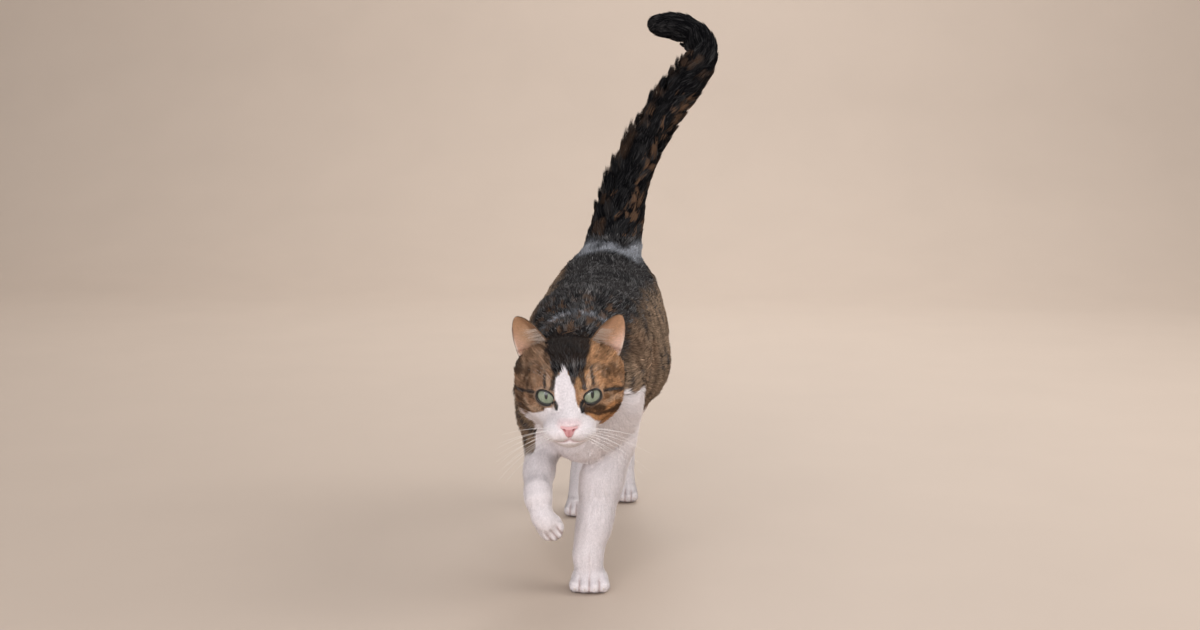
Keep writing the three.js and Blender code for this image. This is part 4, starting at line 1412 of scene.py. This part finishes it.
WHISKER_ROWS = [(-13.5, 2), (-16.0, 3), (-18.6, 3), (-21.0, 2)]
for side, name in ((LEFT, "whiskers_left"), (RIGHT, "whiskers_right")):
    lines, thick = [], []
    for row, (height, count) in enumerate(WHISKER_ROWS):
        for k in range(count):
            place = on_head((side * (9.5 + 2.6 * k + 0.4 * row), -60, height + 0.5 * k))
            ahead = head_turn @ np.array([0, 1.0, 0])
            found = skin_tree.ray_cast(Vector(place), Vector(ahead))[0]
            start = np.array(found) + head_turn @ np.array([0, 0.6, 0]) * MM
            way = unit(np.array([side * 1.0, -0.28 + 0.13 * k, 0.05 - 0.16 * row + rng.normal(0, 0.04)]))
            sag = np.array([0, 0.32, -0.30 - 0.06 * row])
            lines.append(hair_line(start, head_turn @ way, head_turn @ sag, rng.uniform(38, 54) * MM, 14))
            thick.append(rng.uniform(0.22, 0.3))
    for k in range(3):
        place = on_head((side * (13 + 2.2 * k), -50, 22.5))
        found = skin_tree.ray_cast(Vector(place), Vector(head_turn @ np.array([0, 1.0, -0.15])))[0]
        way = unit(np.array([side * (0.35 + 0.2 * k), -0.35, 1.0]))
        sag = np.array([side * 0.25, 0.35, -0.25])
        reach = rng.uniform(15, 22) * MM
        lines.append(hair_line(np.array(found), head_turn @ way, head_turn @ sag, reach, 14))
        thick.append(0.08)
    whiskers = tubes(name, np.array(lines), thick, whisker_finish, 5)
    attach(whiskers, "root")

# ---- Pads and claws ----
# Each paw has a lobed pad under its ball and one under each toe, of thick pink skin. The claws are sheathed,
# with only their tips in the fur over the toes.

pad_finish = Finish("pad", Roughness=0.5)
grain = pad_finish.noise(1300, 4)
pad_finish.feed(Base_Color=pad_finish.mixed(grain, paint(tone(196, 148, 144)), paint(tone(226, 184, 178))))
pad_finish.bump(grain, 0.0004)
claw_finish = Finish("claw", Roughness=0.3)
layers = claw_finish.noise(800, 3)
claw_finish.feed(Base_Color=claw_finish.mixed(layers, paint(tone(206, 186, 166)), paint(tone(236, 222, 206))))

PAD_LUMPS = [  # across the paw, along it, and its half sizes, all as shares of half the paw's width
    (0.0, 0.10, 0.30, 0.34), (-0.30, 0.24, 0.22, 0.26), (0.30, 0.24, 0.22, 0.26),
    (-0.25, -0.48, 0.15, 0.2), (0.25, -0.48, 0.15, 0.2), (-0.6, -0.3, 0.14, 0.2), (0.6, -0.3, 0.14, 0.2),
]
for node, (ball, heading, dip, half) in PAWS.items():
    seat = turned(dip, 0, heading)
    lumps = bmesh.new()
    claws = []
    for across, along, wide, deep in PAD_LUMPS:
        spot = np.array([across, along, 0]) * half
        under = on_body(np.array(ball) + (spot + [0, 0, -14]) @ seat.T)
        found = skin_tree.ray_cast(Vector(under), Vector(seat @ np.array([0, 0, 1.0])))[0]
        if found is None:
            continue
        sizes = Matrix.Diagonal((wide * half * MM, deep * half * MM, 1.5 * MM, 1))
        where = Matrix.Translation(found) @ Matrix(seat.tolist()).to_4x4() @ sizes
        bmesh.ops.create_icosphere(lumps, subdivisions=3, radius=1.0, matrix=where)
    mesh = bpy.data.meshes.new("pad_lumps")
    lumps.to_mesh(mesh)
    lumps.free()
    mesh = remeshed("pads", mesh, 0.0005)
    pad_points, _ = mesh_arrays(mesh)
    pad_points = Net(mesh).smoothed(pad_points, 10, 0.9)
    pad_points[:, 2] = np.maximum(pad_points[:, 2], 0.0001)
    mesh.vertices.foreach_set("co", pad_points.astype(np.float32).ravel())
    mesh.polygons.foreach_set("use_smooth", np.ones(len(mesh.polygons), bool))
    pads = placed("pads_" + node, mesh, pad_finish)
    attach(pads, "root")
    lines = []
    for across in (-0.72, -0.245, 0.245, 0.72):
        out = on_body(np.array(ball) + np.array([across * half, -40, 5.2]) @ seat.T)
        found = skin_tree.ray_cast(Vector(out), Vector(seat @ np.array([0, 1.0, 0])))[0]
        if found is not None:
            start = np.array(found) + seat @ np.array([0, 1.6, 0.9]) * MM
            way, sag = seat @ np.array([0, -1.0, 0.1]), seat @ np.array([0, 0, -0.55])
            lines.append(hair_line(start, way, sag, 3.4 * MM, 8))
    claws = tubes("claws_" + node, np.array(lines), [1.1] * len(lines), claw_finish, 8)
    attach(claws, "root")
